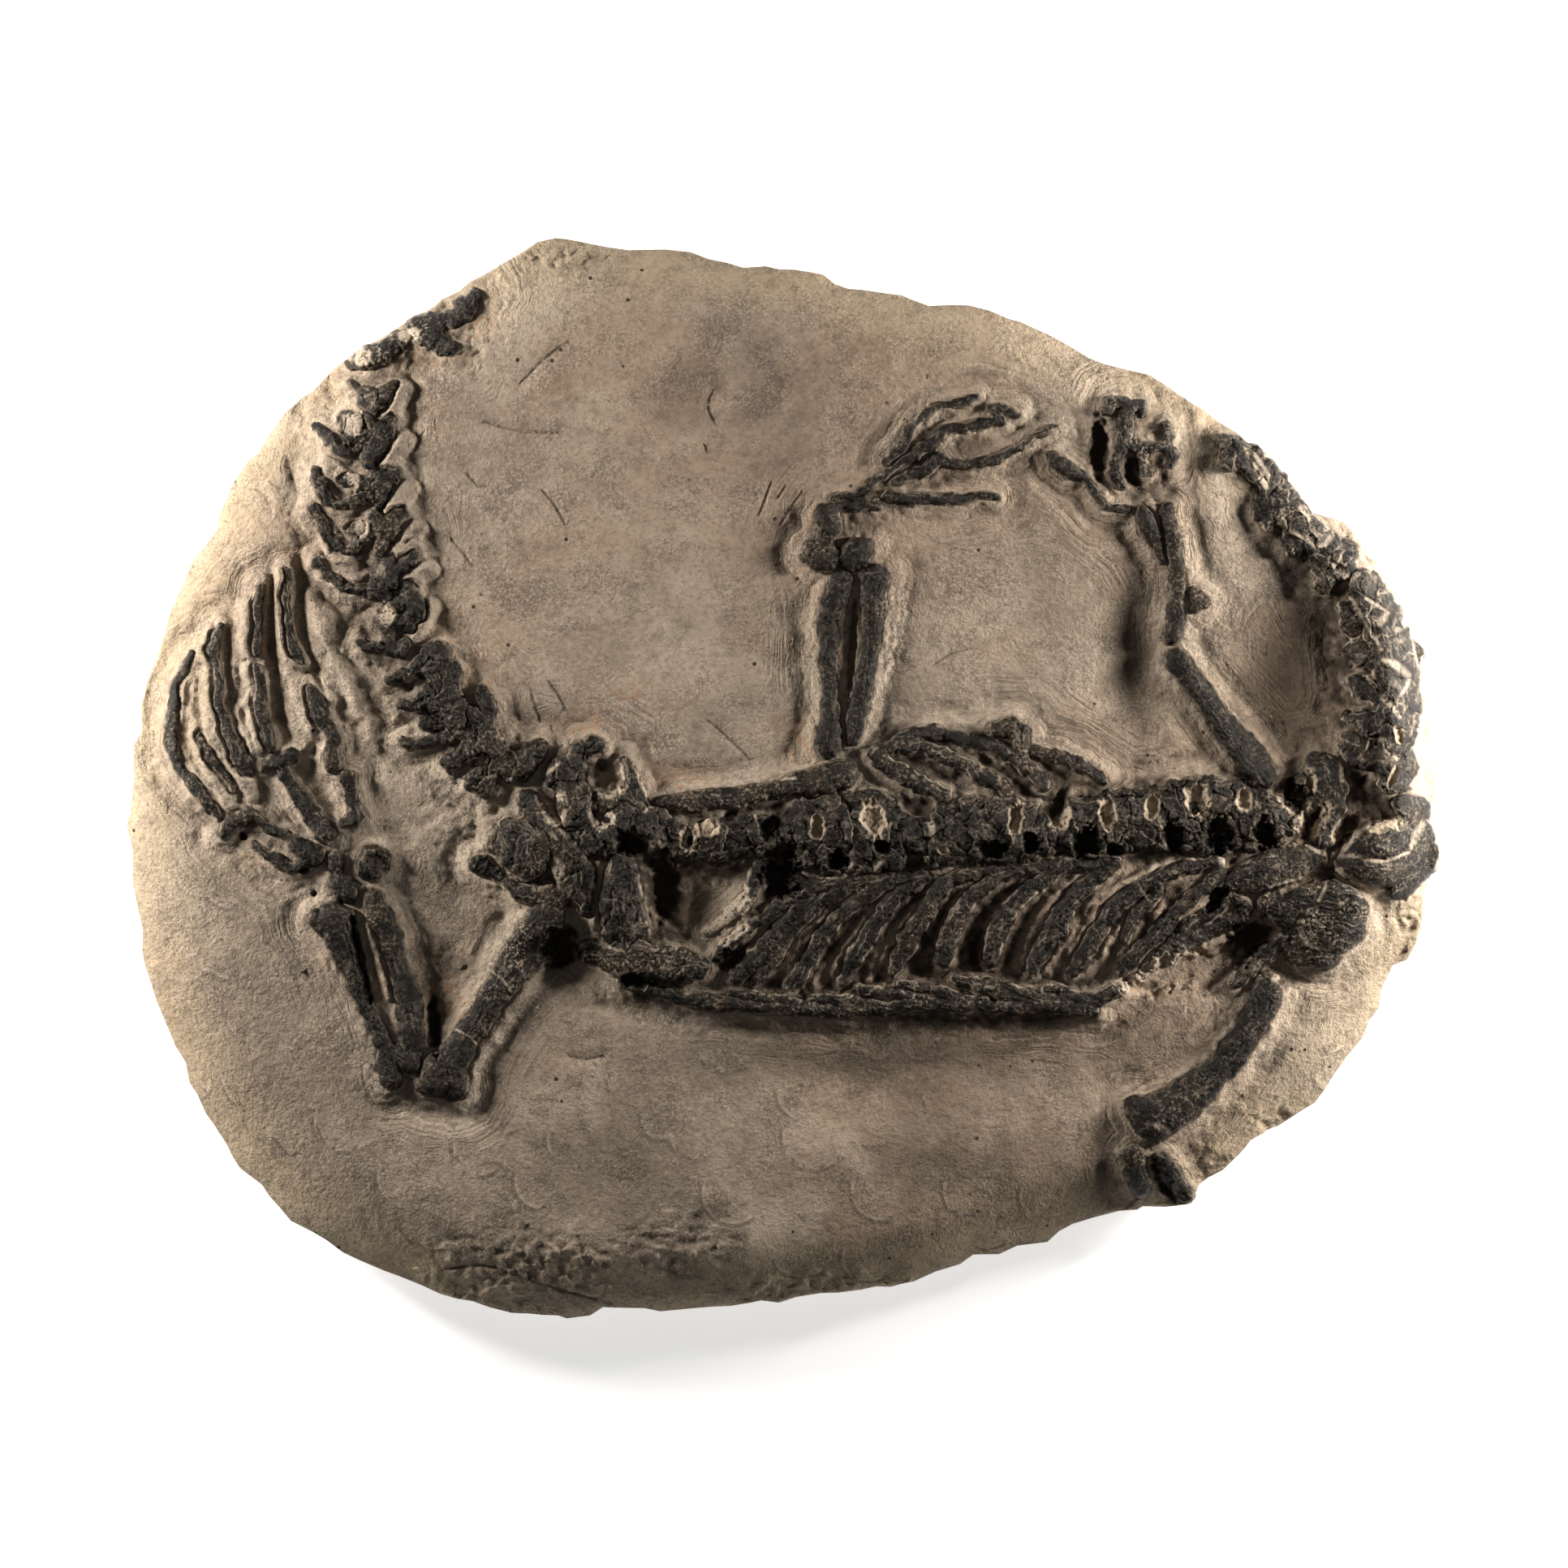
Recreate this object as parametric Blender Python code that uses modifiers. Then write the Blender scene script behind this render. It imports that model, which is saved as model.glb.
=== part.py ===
"""A small reptile's fossil skeleton in relief on one half of the stone nodule it was found in.

Metres, +Z up. The slab lies on its flat underside at z = 0 and is seen from +Z, with +Y up the picture.
"""

import math

import bmesh
import bpy
from mathutils.bvhtree import BVHTree

# Driving sizes. Places are read off the picture in pixels, x to the right and y down.
PIXEL = 0.00022
MM = 0.001
CENTRE_X = 964
CENTRE_Y = 959

# The slab: its crown, the fall towards the rim, and the rim's two edges.
CROWN_HEIGHT = 27 * MM
GENTLE_FALL = 4 * MM
RIM_FALL = 9 * MM
RIM_START = 0.88
RIM_POWER = 1.6
UNDERSIDE_START = 0.68
UNDERSIDE_RISE = 7 * MM
SLAB_SEGMENTS = 180
SLAB_RINGS = 64
RING_POWER = 1.3
SLAB_TRIANGLES = 3400

# The bones: the clearance between two of them and over the stone, and how high a wide one may rise.
GAP = 0.55 * MM
BED_GAP = 0.9 * MM
CAP = 5 * MM
SQUASH = 0.8

# How the bones are meshed.
VOXEL = 0.45 * MM
TUBE_STEPS = 3
CURVE_STEPS = 6
CARVER_STRETCH = 20
BASE_TRIANGLES = 40
TRIANGLES_PER_PIXEL = 0.25
CRUMB_SHARE = 0.04

STONE_COLOUR = (0.42, 0.34, 0.26, 1)
BONE_COLOUR = (0.045, 0.045, 0.048, 1)
ROUGHNESS = 0.8

# Rises and hollows of the stone's top: x, y, their two half-widths in pixels, and the height in mm.
RELIEF = (
    (1600, 760, 70, 150, -4.0),
    (1250, 740, 170, 110, -2.5),
    (850, 800, 170, 110, -2.0),
    (700, 560, 160, 120, 1.0),
    (1060, 1340, 330, 65, -4.0),
    (870, 1110, 55, 45, -4.0),
    (700, 1185, 45, 30, -5.0),
    (540, 1150, 60, 110, -3.0),
    (1190, 1060, 420, 95, 3.5),
    (740, 1040, 100, 100, 3.0),
    (1530, 1160, 70, 40, -3.0),
    (1545, 565, 45, 40, 4.0),
    (1605, 640, 45, 45, 5.0),
    (1665, 715, 45, 50, 6.0),
    (1705, 800, 40, 55, 7.0),
    (1715, 890, 38, 60, 7.0),
    (1715, 985, 45, 60, 6.0),
    (1700, 1060, 50, 50, 5.0),
    (560, 385, 60, 40, -2.0),
    (700, 305, 70, 30, 2.0),
)

# The slab's edge, clockwise from the top as the picture shows it.
SLAB_EDGE = (
    (690, 294), (716, 296), (748, 306), (830, 307), (890, 321), (912, 330), (1000, 333), (1030, 348),
    (1062, 359), (1100, 363), (1122, 369), (1150, 377), (1190, 375), (1212, 376), (1240, 392), (1310, 422),
    (1345, 443), (1375, 454), (1412, 460), (1430, 473), (1470, 495), (1508, 522), (1545, 552), (1580, 595),
    (1606, 628), (1632, 635), (1652, 642), (1680, 668), (1698, 694), (1720, 733), (1728, 765), (1744, 800),
    (1752, 822), (1757, 850), (1764, 910), (1768, 960), (1763, 1030), (1759, 1075), (1755, 1100),
    (1757, 1130), (1750, 1158), (1730, 1183), (1717, 1188), (1700, 1225), (1694, 1250), (1670, 1292),
    (1650, 1315), (1630, 1347), (1605, 1371), (1575, 1384), (1550, 1400), (1510, 1440), (1478, 1457),
    (1474, 1478), (1464, 1488), (1420, 1487), (1380, 1493), (1340, 1500), (1308, 1517), (1285, 1532),
    (1215, 1545), (1150, 1567), (1122, 1583), (1080, 1585), (1030, 1591), (985, 1600), (900, 1608),
    (850, 1613), (742, 1608), (730, 1620), (700, 1624), (640, 1620), (590, 1607), (520, 1582), (450, 1555),
    (395, 1528), (360, 1505), (335, 1476), (293, 1432), (262, 1382), (245, 1350), (232, 1318), (207, 1270),
    (184, 1210), (171, 1130), (160, 1045), (162, 985), (168, 910), (180, 840), (202, 795), (212, 750),
    (238, 693), (258, 668), (277, 622), (300, 570), (325, 549), (350, 512), (395, 468), (450, 427),
    (500, 399), (560, 359), (610, 331), (660, 299),
)

# Each bone is a set of strokes along its axes. A stroke is a list of (x, y, half-width) in pixels.
TAIL = {
    "tail_tip_vertebrae": [
        [(566, 372, 7), (575, 385, 8), (552, 392, 8), (530, 395, 9), (508, 400, 5)],
        [(530, 395, 9), (532, 415, 12), (545, 425, 12), (557, 430, 5)],
    ],
    "tail_vertebra_3": [
        [(500, 412, 5), (488, 420, 9), (470, 435, 13), (455, 440, 13), (440, 445, 8), (431, 449, 4)],
    ],
    "tail_vertebra_4": [
        [(432, 472, 4), (445, 480, 6), (455, 487, 8), (470, 490, 10), (483, 476, 5)],
        [(441, 480, 4), (445, 495, 4), (462, 503, 7), (470, 490, 8)],
    ],
    "tail_vertebra_5": [
        [(432, 520, 12), (434, 540, 9), (450, 540, 10), (468, 545, 12), (458, 562, 8), (455, 572, 5)],
        [(450, 510, 4), (462, 525, 7), (482, 520, 5)],
        [(462, 525, 7), (478, 527, 8), (468, 545, 12)],
        [(392, 525, 4), (405, 540, 5), (418, 555, 5), (428, 558, 4), (455, 552, 6)],
    ],
    "tail_vertebra_6": [
        [(433, 592, 10), (450, 598, 8), (470, 600, 14), (462, 612, 10), (466, 620, 6)],
        [(460, 583, 5), (475, 592, 12), (488, 585, 5)],
        [(388, 582, 4), (395, 595, 5), (405, 612, 5), (418, 622, 4), (440, 616, 6), (455, 612, 5)],
    ],
    "tail_vertebra_7": [
        [(443, 652, 10), (460, 654, 8), (480, 655, 12), (472, 670, 8), (468, 680, 4)],
        [(463, 632, 5), (475, 650, 12), (497, 632, 4)],
        [(386, 625, 4), (400, 650, 4), (415, 672, 4), (430, 680, 5), (443, 668, 7), (450, 658, 8)],
    ],
    "tail_vertebra_8": [
        [(480, 692, 4), (490, 702, 8), (512, 686, 6)],
        [(488, 702, 8), (480, 715, 12), (466, 722, 12)],
        [(388, 692, 4), (412, 715, 4), (425, 724, 5), (445, 728, 7), (462, 728, 8), (480, 738, 5)],
    ],
    "tail_vertebra_9": [
        [(505, 730, 9), (510, 745, 11), (507, 760, 10), (503, 774, 6)],
        [(484, 748, 6), (500, 744, 9)],
        [(503, 762, 8), (486, 766, 9), (472, 766, 9), (480, 780, 8), (484, 792, 6)],
        [(443, 792, 4), (455, 797, 5), (475, 800, 6), (490, 803, 6), (500, 796, 5)],
        [(484, 792, 6), (478, 800, 5)],
    ],
    "tail_base_vertebrae": [
        [(525, 802, 6), (540, 800, 8), (550, 803, 5)],
        [(540, 800, 8), (540, 820, 20), (548, 850, 21), (545, 870, 16), (570, 885, 20), (590, 905, 22),
         (600, 925, 25), (618, 940, 20), (640, 945, 16), (655, 930, 14), (665, 920, 6)],
        [(478, 838, 4), (497, 832, 6), (520, 820, 12)],
        [(497, 870, 4), (515, 868, 8), (530, 860, 14)],
        [(525, 890, 6), (545, 892, 8), (560, 888, 10)],
        [(498, 915, 4), (520, 916, 5), (545, 910, 6), (570, 902, 10)],
        [(592, 853, 6), (603, 868, 7), (600, 885, 9), (592, 897, 12)],
        [(556, 940, 9), (575, 928, 12), (590, 925, 14)],
        [(588, 962, 14), (600, 972, 10), (603, 950, 14), (608, 938, 14)],
    ],
}

LOWER_FOOT = {
    "lower_toe_1": [
        [(237, 803, 4), (228, 820, 6), (218, 840, 6), (213, 855, 5), (213, 862, 8), (212, 880, 8),
         (209, 903, 8), (213, 925, 9), (222, 948, 8), (228, 955, 8), (245, 975, 9), (262, 995, 8),
         (272, 1008, 5)],
    ],
    "lower_toe_2": [
        [(247, 905, 5), (250, 918, 5), (268, 943, 6), (290, 972, 5)],
    ],
    "lower_toe_3": [
        [(270, 772, 5), (262, 800, 8), (268, 822, 7), (270, 850, 7), (268, 865, 6), (280, 893, 8),
         (285, 903, 10), (295, 930, 12), (305, 950, 9)],
    ],
    "lower_toe_4": [
        [(318, 822, 6), (322, 850, 7), (320, 862, 8), (326, 895, 9), (333, 920, 8)],
    ],
    "lower_toe_4_tip": [
        [(322, 722, 5), (318, 745, 6), (318, 765, 6), (315, 802, 6)],
    ],
    "lower_toe_5": [
        [(383, 848, 8), (392, 870, 12), (398, 890, 10), (410, 905, 10), (410, 943, 10)],
    ],
    "lower_toe_5_tip": [
        [(354, 702, 4), (353, 735, 5), (354, 762, 5), (360, 795, 6), (375, 814, 6)],
    ],
    "lower_metatarsal_1": [
        [(278, 1025, 7), (290, 1015, 9), (305, 1005, 9), (330, 1018, 8), (360, 1035, 9),
         (386, 1054, 13)],
        [(315, 1042, 6), (340, 1058, 9), (358, 1070, 8), (378, 1062, 10)],
    ],
    "lower_metatarsal_2": [
        [(330, 943, 8), (345, 938, 9), (358, 930, 8)],
        [(345, 938, 9), (352, 955, 9), (365, 975, 9), (385, 1005, 10), (403, 1026, 12)],
    ],
    "lower_metatarsal_3": [
        [(430, 960, 12), (432, 985, 8), (440, 1008, 11), (424, 1012, 8)],
    ],
    "lower_ankle_bone_1": [[(461, 1060, 22), (459, 1066, 22)]],
    "lower_ankle_bone_2": [
        [(422, 1090, 18), (426, 1096, 18)],
        [(414, 1056, 11), (418, 1076, 10), (424, 1088, 12)],
    ],
}

LOWER_LEG = {
    "lower_tibia": [
        [(412, 1133, 22), (418, 1150, 20), (424, 1170, 17), (434, 1195, 14), (443, 1220, 12),
         (455, 1245, 11), (467, 1270, 11), (478, 1295, 12), (486, 1318, 11), (489, 1332, 9)],
        [(400, 1133, 12), (432, 1128, 10)],
    ],
    "lower_fibula": [
        [(462, 1108, 14), (470, 1130, 17), (482, 1155, 16), (488, 1180, 14), (496, 1205, 15),
         (503, 1230, 16), (507, 1260, 16), (509, 1285, 15), (509, 1303, 13), (507, 1314, 9)],
    ],
    "lower_femur": [
        [(541, 1328, 24), (556, 1308, 22), (572, 1283, 18), (590, 1258, 18), (606, 1232, 18),
         (622, 1208, 20), (638, 1185, 24), (655, 1162, 27), (668, 1143, 27), (676, 1128, 20)],
        [(525, 1336, 12), (556, 1340, 12)],
    ],
}

HIPS = {
    "hip_oval_plate": [[(634, 1026, 19), (648, 1045, 32), (650, 1058, 26)]],
    "hip_bar": [
        [(650, 984, 9), (663, 1008, 13), (680, 1030, 17), (697, 1052, 20), (714, 1080, 18),
         (716, 1100, 14), (722, 1118, 9)],
        [(697, 1058, 18), (703, 1092, 12), (700, 1106, 10), (680, 1104, 12), (655, 1103, 9),
         (636, 1093, 6), (615, 1078, 6), (590, 1065, 10)],
    ],
    "hip_large_plate": [
        [(768, 1062, 14), (768, 1085, 20), (766, 1110, 24), (768, 1136, 24)],
        [(752, 1148, 10), (786, 1146, 10)],
    ],
    "hip_lower_plate": [
        [(727, 1172, 13), (745, 1176, 14), (770, 1182, 22), (782, 1200, 20)],
        [(785, 1182, 20), (812, 1184, 20), (838, 1190, 18), (858, 1190, 14)],
    ],
}

UPPER_LEG = {
    "upper_femur": [
        [(812, 988, 6), (830, 988, 10), (850, 987, 12), (880, 984, 12), (915, 980, 11), (950, 973, 10),
         (980, 967, 13), (1010, 961, 17), (1036, 955, 18)],
    ],
    "upper_fibula": [
        [(1037, 717, 14), (1031, 735, 14), (1022, 760, 12), (1020, 800, 11), (1021, 830, 9),
         (1022, 860, 8), (1023, 885, 11), (1021, 908, 14), (1019, 922, 13)],
    ],
    "upper_tibia": [
        [(1078, 713, 17), (1076, 735, 16), (1074, 765, 14), (1071, 800, 11), (1065, 835, 10),
         (1059, 865, 11), (1054, 893, 11), (1050, 912, 8)],
        [(1068, 708, 10), (1088, 708, 10)],
    ],
    "upper_ankle_bones": [
        [(1003, 680, 16), (1014, 686, 20), (1034, 686, 9), (1052, 684, 20), (1066, 673, 9)],
        [(1014, 668, 10), (1022, 652, 14), (1018, 634, 12), (1040, 622, 4), (1060, 624, 6),
         (1080, 622, 7)],
    ],
}

UPPER_FOOT = {
    "upper_toe_1": [
        [(1090, 569, 6), (1112, 552, 7), (1118, 537, 7), (1125, 527, 7), (1136, 514, 5), (1150, 503, 5),
         (1165, 498, 4), (1180, 497, 5), (1190, 496, 6), (1202, 491, 5)],
    ],
    "upper_toe_2": [
        [(1024, 614, 4), (1045, 612, 6), (1065, 605, 5), (1085, 590, 5), (1104, 576, 5), (1125, 562, 7),
         (1143, 550, 9), (1154, 539, 7), (1180, 528, 6), (1200, 526, 7), (1222, 520, 7), (1232, 518, 8),
         (1224, 502, 6), (1245, 507, 6), (1254, 513, 4)],
    ],
    "upper_toe_3": [
        [(1100, 594, 4), (1122, 586, 7), (1143, 579, 9), (1155, 566, 9), (1170, 572, 8), (1190, 575, 7),
         (1206, 572, 9), (1222, 568, 7), (1242, 560, 6), (1256, 552, 6), (1270, 539, 5), (1285, 532, 5),
         (1303, 526, 4)],
    ],
    "upper_toe_4": [
        [(1094, 611, 7), (1115, 617, 8), (1140, 614, 8), (1165, 615, 7), (1186, 615, 7), (1210, 610, 5),
         (1228, 613, 4)],
    ],
}

TRUNK = {
    "trunk_vertebrae_rear": [
        [(692, 952, 15), (706, 968, 18), (712, 995, 18), (716, 1016, 16), (745, 1035, 18),
         (768, 1008, 14), (790, 1004, 12), (815, 1022, 20), (845, 1040, 18), (880, 1035, 24),
         (915, 1030, 22), (939, 1027, 20)],
        [(712, 925, 8), (735, 918, 6)],
        [(706, 968, 16), (712, 928, 8)],
        [(771, 942, 4), (779, 962, 5), (786, 982, 8), (790, 1002, 10)],
        [(742, 988, 8), (765, 984, 9), (786, 990, 9)],
    ],
    "trunk_vertebrae_middle": [
        [(984, 1022, 22), (1015, 1022, 24), (1045, 1022, 26), (1080, 1018, 26), (1115, 1028, 20),
         (1150, 1035, 18), (1185, 1025, 24), (1220, 1020, 22), (1255, 1028, 22), (1285, 1030, 20)],
        [(990, 1000, 12), (1030, 987, 7), (1065, 984, 7), (1092, 996, 10)],
        [(985, 1055, 14), (1040, 1058, 16), (1100, 1056, 16)],
        [(1165, 1005, 12), (1210, 1000, 14), (1262, 1002, 12)],
        [(1150, 1050, 12), (1210, 1050, 12), (1270, 1050, 10)],
    ],
    "trunk_vertebrae_front": [
        [(1320, 1020, 20), (1350, 1022, 24), (1390, 1012, 24), (1430, 1010, 24), (1470, 1008, 26),
         (1510, 1008, 26), (1550, 1005, 28), (1575, 1010, 24)],
        [(1335, 993, 12), (1385, 988, 12), (1430, 986, 14), (1470, 974, 14), (1510, 975, 12),
         (1540, 985, 12)],
        [(1325, 1042, 12), (1380, 1036, 12), (1440, 1032, 12), (1520, 1036, 12), (1565, 1032, 10)],
    ],
}

RIBS = {
    "upper_ribs": [
        [(1076, 931, 8), (1092, 942, 9), (1115, 956, 10), (1140, 969, 10), (1162, 981, 9)],
        [(1076, 931, 8), (1105, 914, 7), (1130, 904, 7), (1150, 902, 7), (1180, 909, 7), (1205, 915, 7),
         (1230, 922, 8), (1250, 933, 9), (1268, 949, 9), (1284, 965, 8)],
        [(1100, 922, 8), (1130, 918, 8), (1155, 927, 7), (1180, 937, 7), (1202, 950, 8), (1225, 963, 8),
         (1240, 972, 6)],
        [(1228, 898, 10), (1248, 897, 13), (1258, 912, 12), (1258, 930, 9)],
        [(1262, 922, 6), (1284, 927, 6), (1300, 930, 7), (1320, 938, 7), (1340, 950, 7), (1358, 963, 5)],
    ],
    "lower_ribs_rear": [
        [(938, 1066, 8), (930, 1082, 8), (925, 1100, 8), (915, 1115, 8), (900, 1126, 7), (885, 1136, 7),
         (873, 1146, 5)],
        [(1000, 1092, 8), (976, 1108, 8), (956, 1121, 8), (932, 1137, 7), (910, 1152, 7),
         (892, 1168, 6), (881, 1182, 5)],
        [(1000, 1092, 8), (985, 1118, 8), (966, 1140, 9), (946, 1164, 10), (926, 1186, 10),
         (909, 1204, 8)],
        [(938, 1066, 8), (962, 1080, 9), (985, 1088, 9), (1000, 1092, 9)],
        [(1000, 1092, 9), (1030, 1088, 9), (1060, 1084, 9), (1100, 1082, 9), (1140, 1080, 8)],
        [(1060, 1084, 8), (1030, 1100, 9), (1005, 1115, 8), (987, 1132, 8), (972, 1152, 8),
         (957, 1172, 8), (942, 1192, 8), (930, 1206, 6)],
        [(1100, 1082, 9), (1070, 1100, 9), (1045, 1118, 9), (1025, 1138, 9), (1010, 1160, 9),
         (998, 1180, 9), (985, 1200, 9), (976, 1214, 6)],
        [(1140, 1080, 8), (1112, 1098, 8), (1095, 1115, 9), (1080, 1135, 9), (1068, 1155, 9),
         (1055, 1175, 9), (1045, 1193, 8), (1038, 1206, 6)],
    ],
    "lower_ribs_middle": [
        [(1158, 1088, 6), (1180, 1080, 7), (1215, 1072, 7), (1260, 1067, 7), (1310, 1064, 8),
         (1345, 1066, 8), (1370, 1062, 8)],
        [(1166, 1089, 8), (1150, 1105, 9), (1140, 1125, 10), (1125, 1145, 11), (1115, 1165, 11),
         (1106, 1183, 10), (1101, 1196, 7)],
        [(1250, 1069, 7), (1215, 1090, 8), (1192, 1110, 9), (1180, 1130, 10), (1170, 1150, 11),
         (1165, 1170, 11), (1161, 1184, 8)],
        [(1310, 1065, 8), (1280, 1085, 8), (1256, 1105, 9), (1240, 1125, 10), (1228, 1145, 10),
         (1222, 1165, 10), (1218, 1182, 8)],
        [(1364, 1070, 8), (1332, 1095, 9), (1312, 1118, 11), (1299, 1143, 13), (1286, 1165, 12),
         (1275, 1185, 9), (1269, 1197, 6)],
    ],
    "lower_ribs_front": [
        [(1500, 1060, 7), (1450, 1071, 8), (1420, 1083, 8), (1397, 1098, 9), (1378, 1113, 10),
         (1362, 1132, 10), (1348, 1155, 10), (1335, 1177, 10), (1322, 1196, 8)],
        [(1500, 1060, 7), (1500, 1080, 7), (1475, 1098, 8), (1455, 1118, 9), (1435, 1140, 10),
         (1415, 1160, 10), (1395, 1178, 9), (1383, 1194, 8)],
        [(1420, 1083, 8), (1425, 1100, 7), (1402, 1120, 8), (1392, 1140, 8), (1384, 1158, 6)],
        [(1500, 1080, 7), (1515, 1102, 8), (1490, 1125, 8), (1462, 1143, 8), (1442, 1163, 8),
         (1425, 1180, 7), (1408, 1196, 6)],
        [(1515, 1102, 8), (1535, 1120, 8), (1510, 1138, 9), (1480, 1152, 9), (1458, 1166, 8),
         (1440, 1180, 6)],
    ],
    "belly_ribs": [
        [(806, 1220, 5), (830, 1228, 6), (870, 1234, 7), (910, 1238, 7), (950, 1242, 7),
         (1000, 1244, 7), (1040, 1246, 7), (1080, 1242, 7), (1110, 1238, 7), (1150, 1238, 7),
         (1190, 1240, 7), (1240, 1241, 7), (1275, 1238, 7), (1320, 1240, 8), (1348, 1244, 8)],
        [(900, 1224, 5), (935, 1228, 6), (975, 1236, 6), (1010, 1242, 6)],
        [(1000, 1230, 5), (1040, 1233, 6), (1080, 1238, 6)],
        [(1056, 1218, 5), (1100, 1224, 6), (1140, 1232, 6), (1190, 1238, 6)],
        [(1110, 1214, 5), (1140, 1218, 6), (1175, 1226, 6), (1215, 1236, 6)],
        [(1178, 1206, 5), (1205, 1213, 6), (1235, 1224, 6), (1265, 1236, 6)],
        [(1216, 1210, 5), (1245, 1219, 6), (1275, 1228, 6), (1310, 1236, 7)],
        [(1290, 1218, 6), (1320, 1226, 7), (1345, 1234, 8), (1366, 1222, 7), (1384, 1216, 6)],
    ],
}

SHOULDER = {
    "shoulder_long_plate": [
        [(1520, 1085, 9), (1545, 1078, 18), (1572, 1070, 22), (1602, 1058, 16), (1624, 1056, 8)],
    ],
    "shoulder_round_plate": [
        [(1560, 1112, 10), (1590, 1125, 20), (1625, 1130, 42), (1640, 1132, 42)],
        [(1590, 1150, 12), (1600, 1168, 16), (1630, 1168, 22)],
        [(1592, 1148, 8), (1574, 1166, 8), (1550, 1182, 8), (1536, 1195, 8), (1522, 1208, 6)],
    ],
    "shoulder_ring_plate": [
        [(1668, 1045, 12), (1692, 1040, 16), (1714, 1034, 18), (1728, 1030, 14)],
        [(1660, 1066, 12), (1690, 1074, 12), (1718, 1074, 14), (1742, 1058, 12), (1752, 1036, 10),
         (1745, 1012, 10), (1742, 996, 14)],
        [(1668, 1045, 12), (1660, 1066, 12)],
        [(1714, 1050, 8), (1716, 1066, 8)],
    ],
    "shoulder_blade": [
        [(1624, 950, 14), (1634, 970, 15), (1640, 990, 14), (1630, 1015, 9), (1628, 1034, 9)],
        [(1600, 965, 9), (1602, 990, 8), (1625, 990, 8)],
    ],
}

LOWER_ARM = {
    "lower_humerus": [
        [(1561, 1214, 17), (1556, 1235, 19), (1545, 1258, 19), (1530, 1282, 18), (1513, 1305, 17),
         (1493, 1326, 19), (1470, 1345, 23), (1448, 1362, 26), (1428, 1374, 26)],
        [(1400, 1364, 15), (1410, 1372, 20), (1424, 1388, 18)],
    ],
    "lower_ulna": [[(1396, 1424, 14), (1398, 1440, 14), (1405, 1457, 12), (1408, 1467, 9)]],
    "lower_radius": [[(1430, 1427, 9), (1439, 1442, 11), (1452, 1460, 11), (1462, 1473, 9)]],
}

UPPER_ARM = {
    "upper_humerus": [
        [(1449, 814, 15), (1465, 834, 14), (1484, 860, 14), (1502, 885, 15), (1520, 908, 17),
         (1538, 932, 20), (1554, 952, 20)],
    ],
    "upper_radius": [
        [(1436, 628, 8), (1440, 648, 9), (1446, 672, 10), (1450, 700, 9), (1449, 740, 9),
         (1448, 765, 11), (1444, 783, 12)],
    ],
    "upper_ulna": [
        [(1408, 633, 10), (1414, 648, 12), (1422, 668, 8), (1431, 690, 4)],
    ],
    "forelimb_fragment": [
        [(1472, 734, 9), (1480, 741, 9), (1472, 752, 6)],
    ],
    "wrist_bones": [
        [(1366, 506, 6), (1369, 496, 6), (1382, 494, 7), (1393, 502, 8), (1404, 498, 6), (1407, 509, 5)],
        [(1390, 505, 8), (1385, 520, 11), (1387, 538, 10), (1380, 553, 9), (1374, 566, 5),
         (1374, 586, 5), (1381, 600, 5)],
        [(1385, 548, 9), (1405, 552, 7), (1420, 552, 7), (1434, 549, 7), (1446, 563, 5), (1443, 575, 4)],
        [(1436, 550, 6), (1441, 538, 5), (1437, 524, 5)],
        [(1406, 556, 6), (1408, 570, 7), (1413, 582, 8)],
    ],
    "finger_bones": [
        [(1299, 566, 8), (1320, 582, 9), (1334, 586, 6), (1345, 600, 5), (1356, 617, 5), (1370, 627, 4),
         (1388, 628, 4)],
    ],
}

NECK = {
    "neck_front": [
        [(1512, 548, 14), (1530, 560, 16), (1550, 576, 18), (1566, 596, 19), (1580, 618, 22),
         (1597, 640, 22), (1614, 660, 22), (1634, 680, 22)],
        [(1510, 566, 12), (1528, 566, 12)],
        [(1562, 610, 12), (1566, 634, 14)],
        [(1600, 668, 14), (1598, 672, 14)],
        [(1632, 692, 14), (1630, 712, 14), (1634, 718, 12)],
        [(1655, 668, 10), (1660, 690, 14), (1650, 700, 14)],
    ],
    "neck_rear": [
        [(1680, 722, 22), (1694, 748, 26), (1706, 776, 28), (1716, 806, 28), (1722, 840, 28),
         (1724, 874, 28), (1720, 906, 24), (1716, 938, 24), (1712, 962, 16)],
        [(1664, 745, 8), (1666, 766, 12)],
        [(1735, 790, 8), (1748, 802, 7)],
        [(1698, 806, 14), (1672, 808, 13)],
        [(1700, 850, 14), (1676, 848, 13)],
        [(1700, 892, 14), (1670, 888, 12)],
        [(1700, 935, 16), (1672, 932, 12), (1656, 920, 9)],
        [(1734, 862, 18), (1732, 886, 16)],
        [(1730, 940, 13), (1730, 958, 12)],
    ],
}

# Each group with the height of its bones' axes over the stone. Where two bones touch, the one made
# first keeps its whole shape.
GROUPS = (
    (TRUNK, 1.6 * MM),
    (NECK, 1.2 * MM),
    (HIPS, 1.4 * MM),
    (LOWER_LEG, 1.2 * MM),
    (UPPER_LEG, 0.9 * MM),
    (SHOULDER, 1.2 * MM),
    (LOWER_ARM, 1.1 * MM),
    (UPPER_ARM, 0.8 * MM),
    (RIBS, 1.0 * MM),
    (TAIL, 0.8 * MM),
    (LOWER_FOOT, 0.7 * MM),
    (UPPER_FOOT, 0.6 * MM),
)


def place(x, y):
    """A pixel's place on the model, in metres."""
    return (x - CENTRE_X) * PIXEL, (CENTRE_Y - y) * PIXEL


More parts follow.
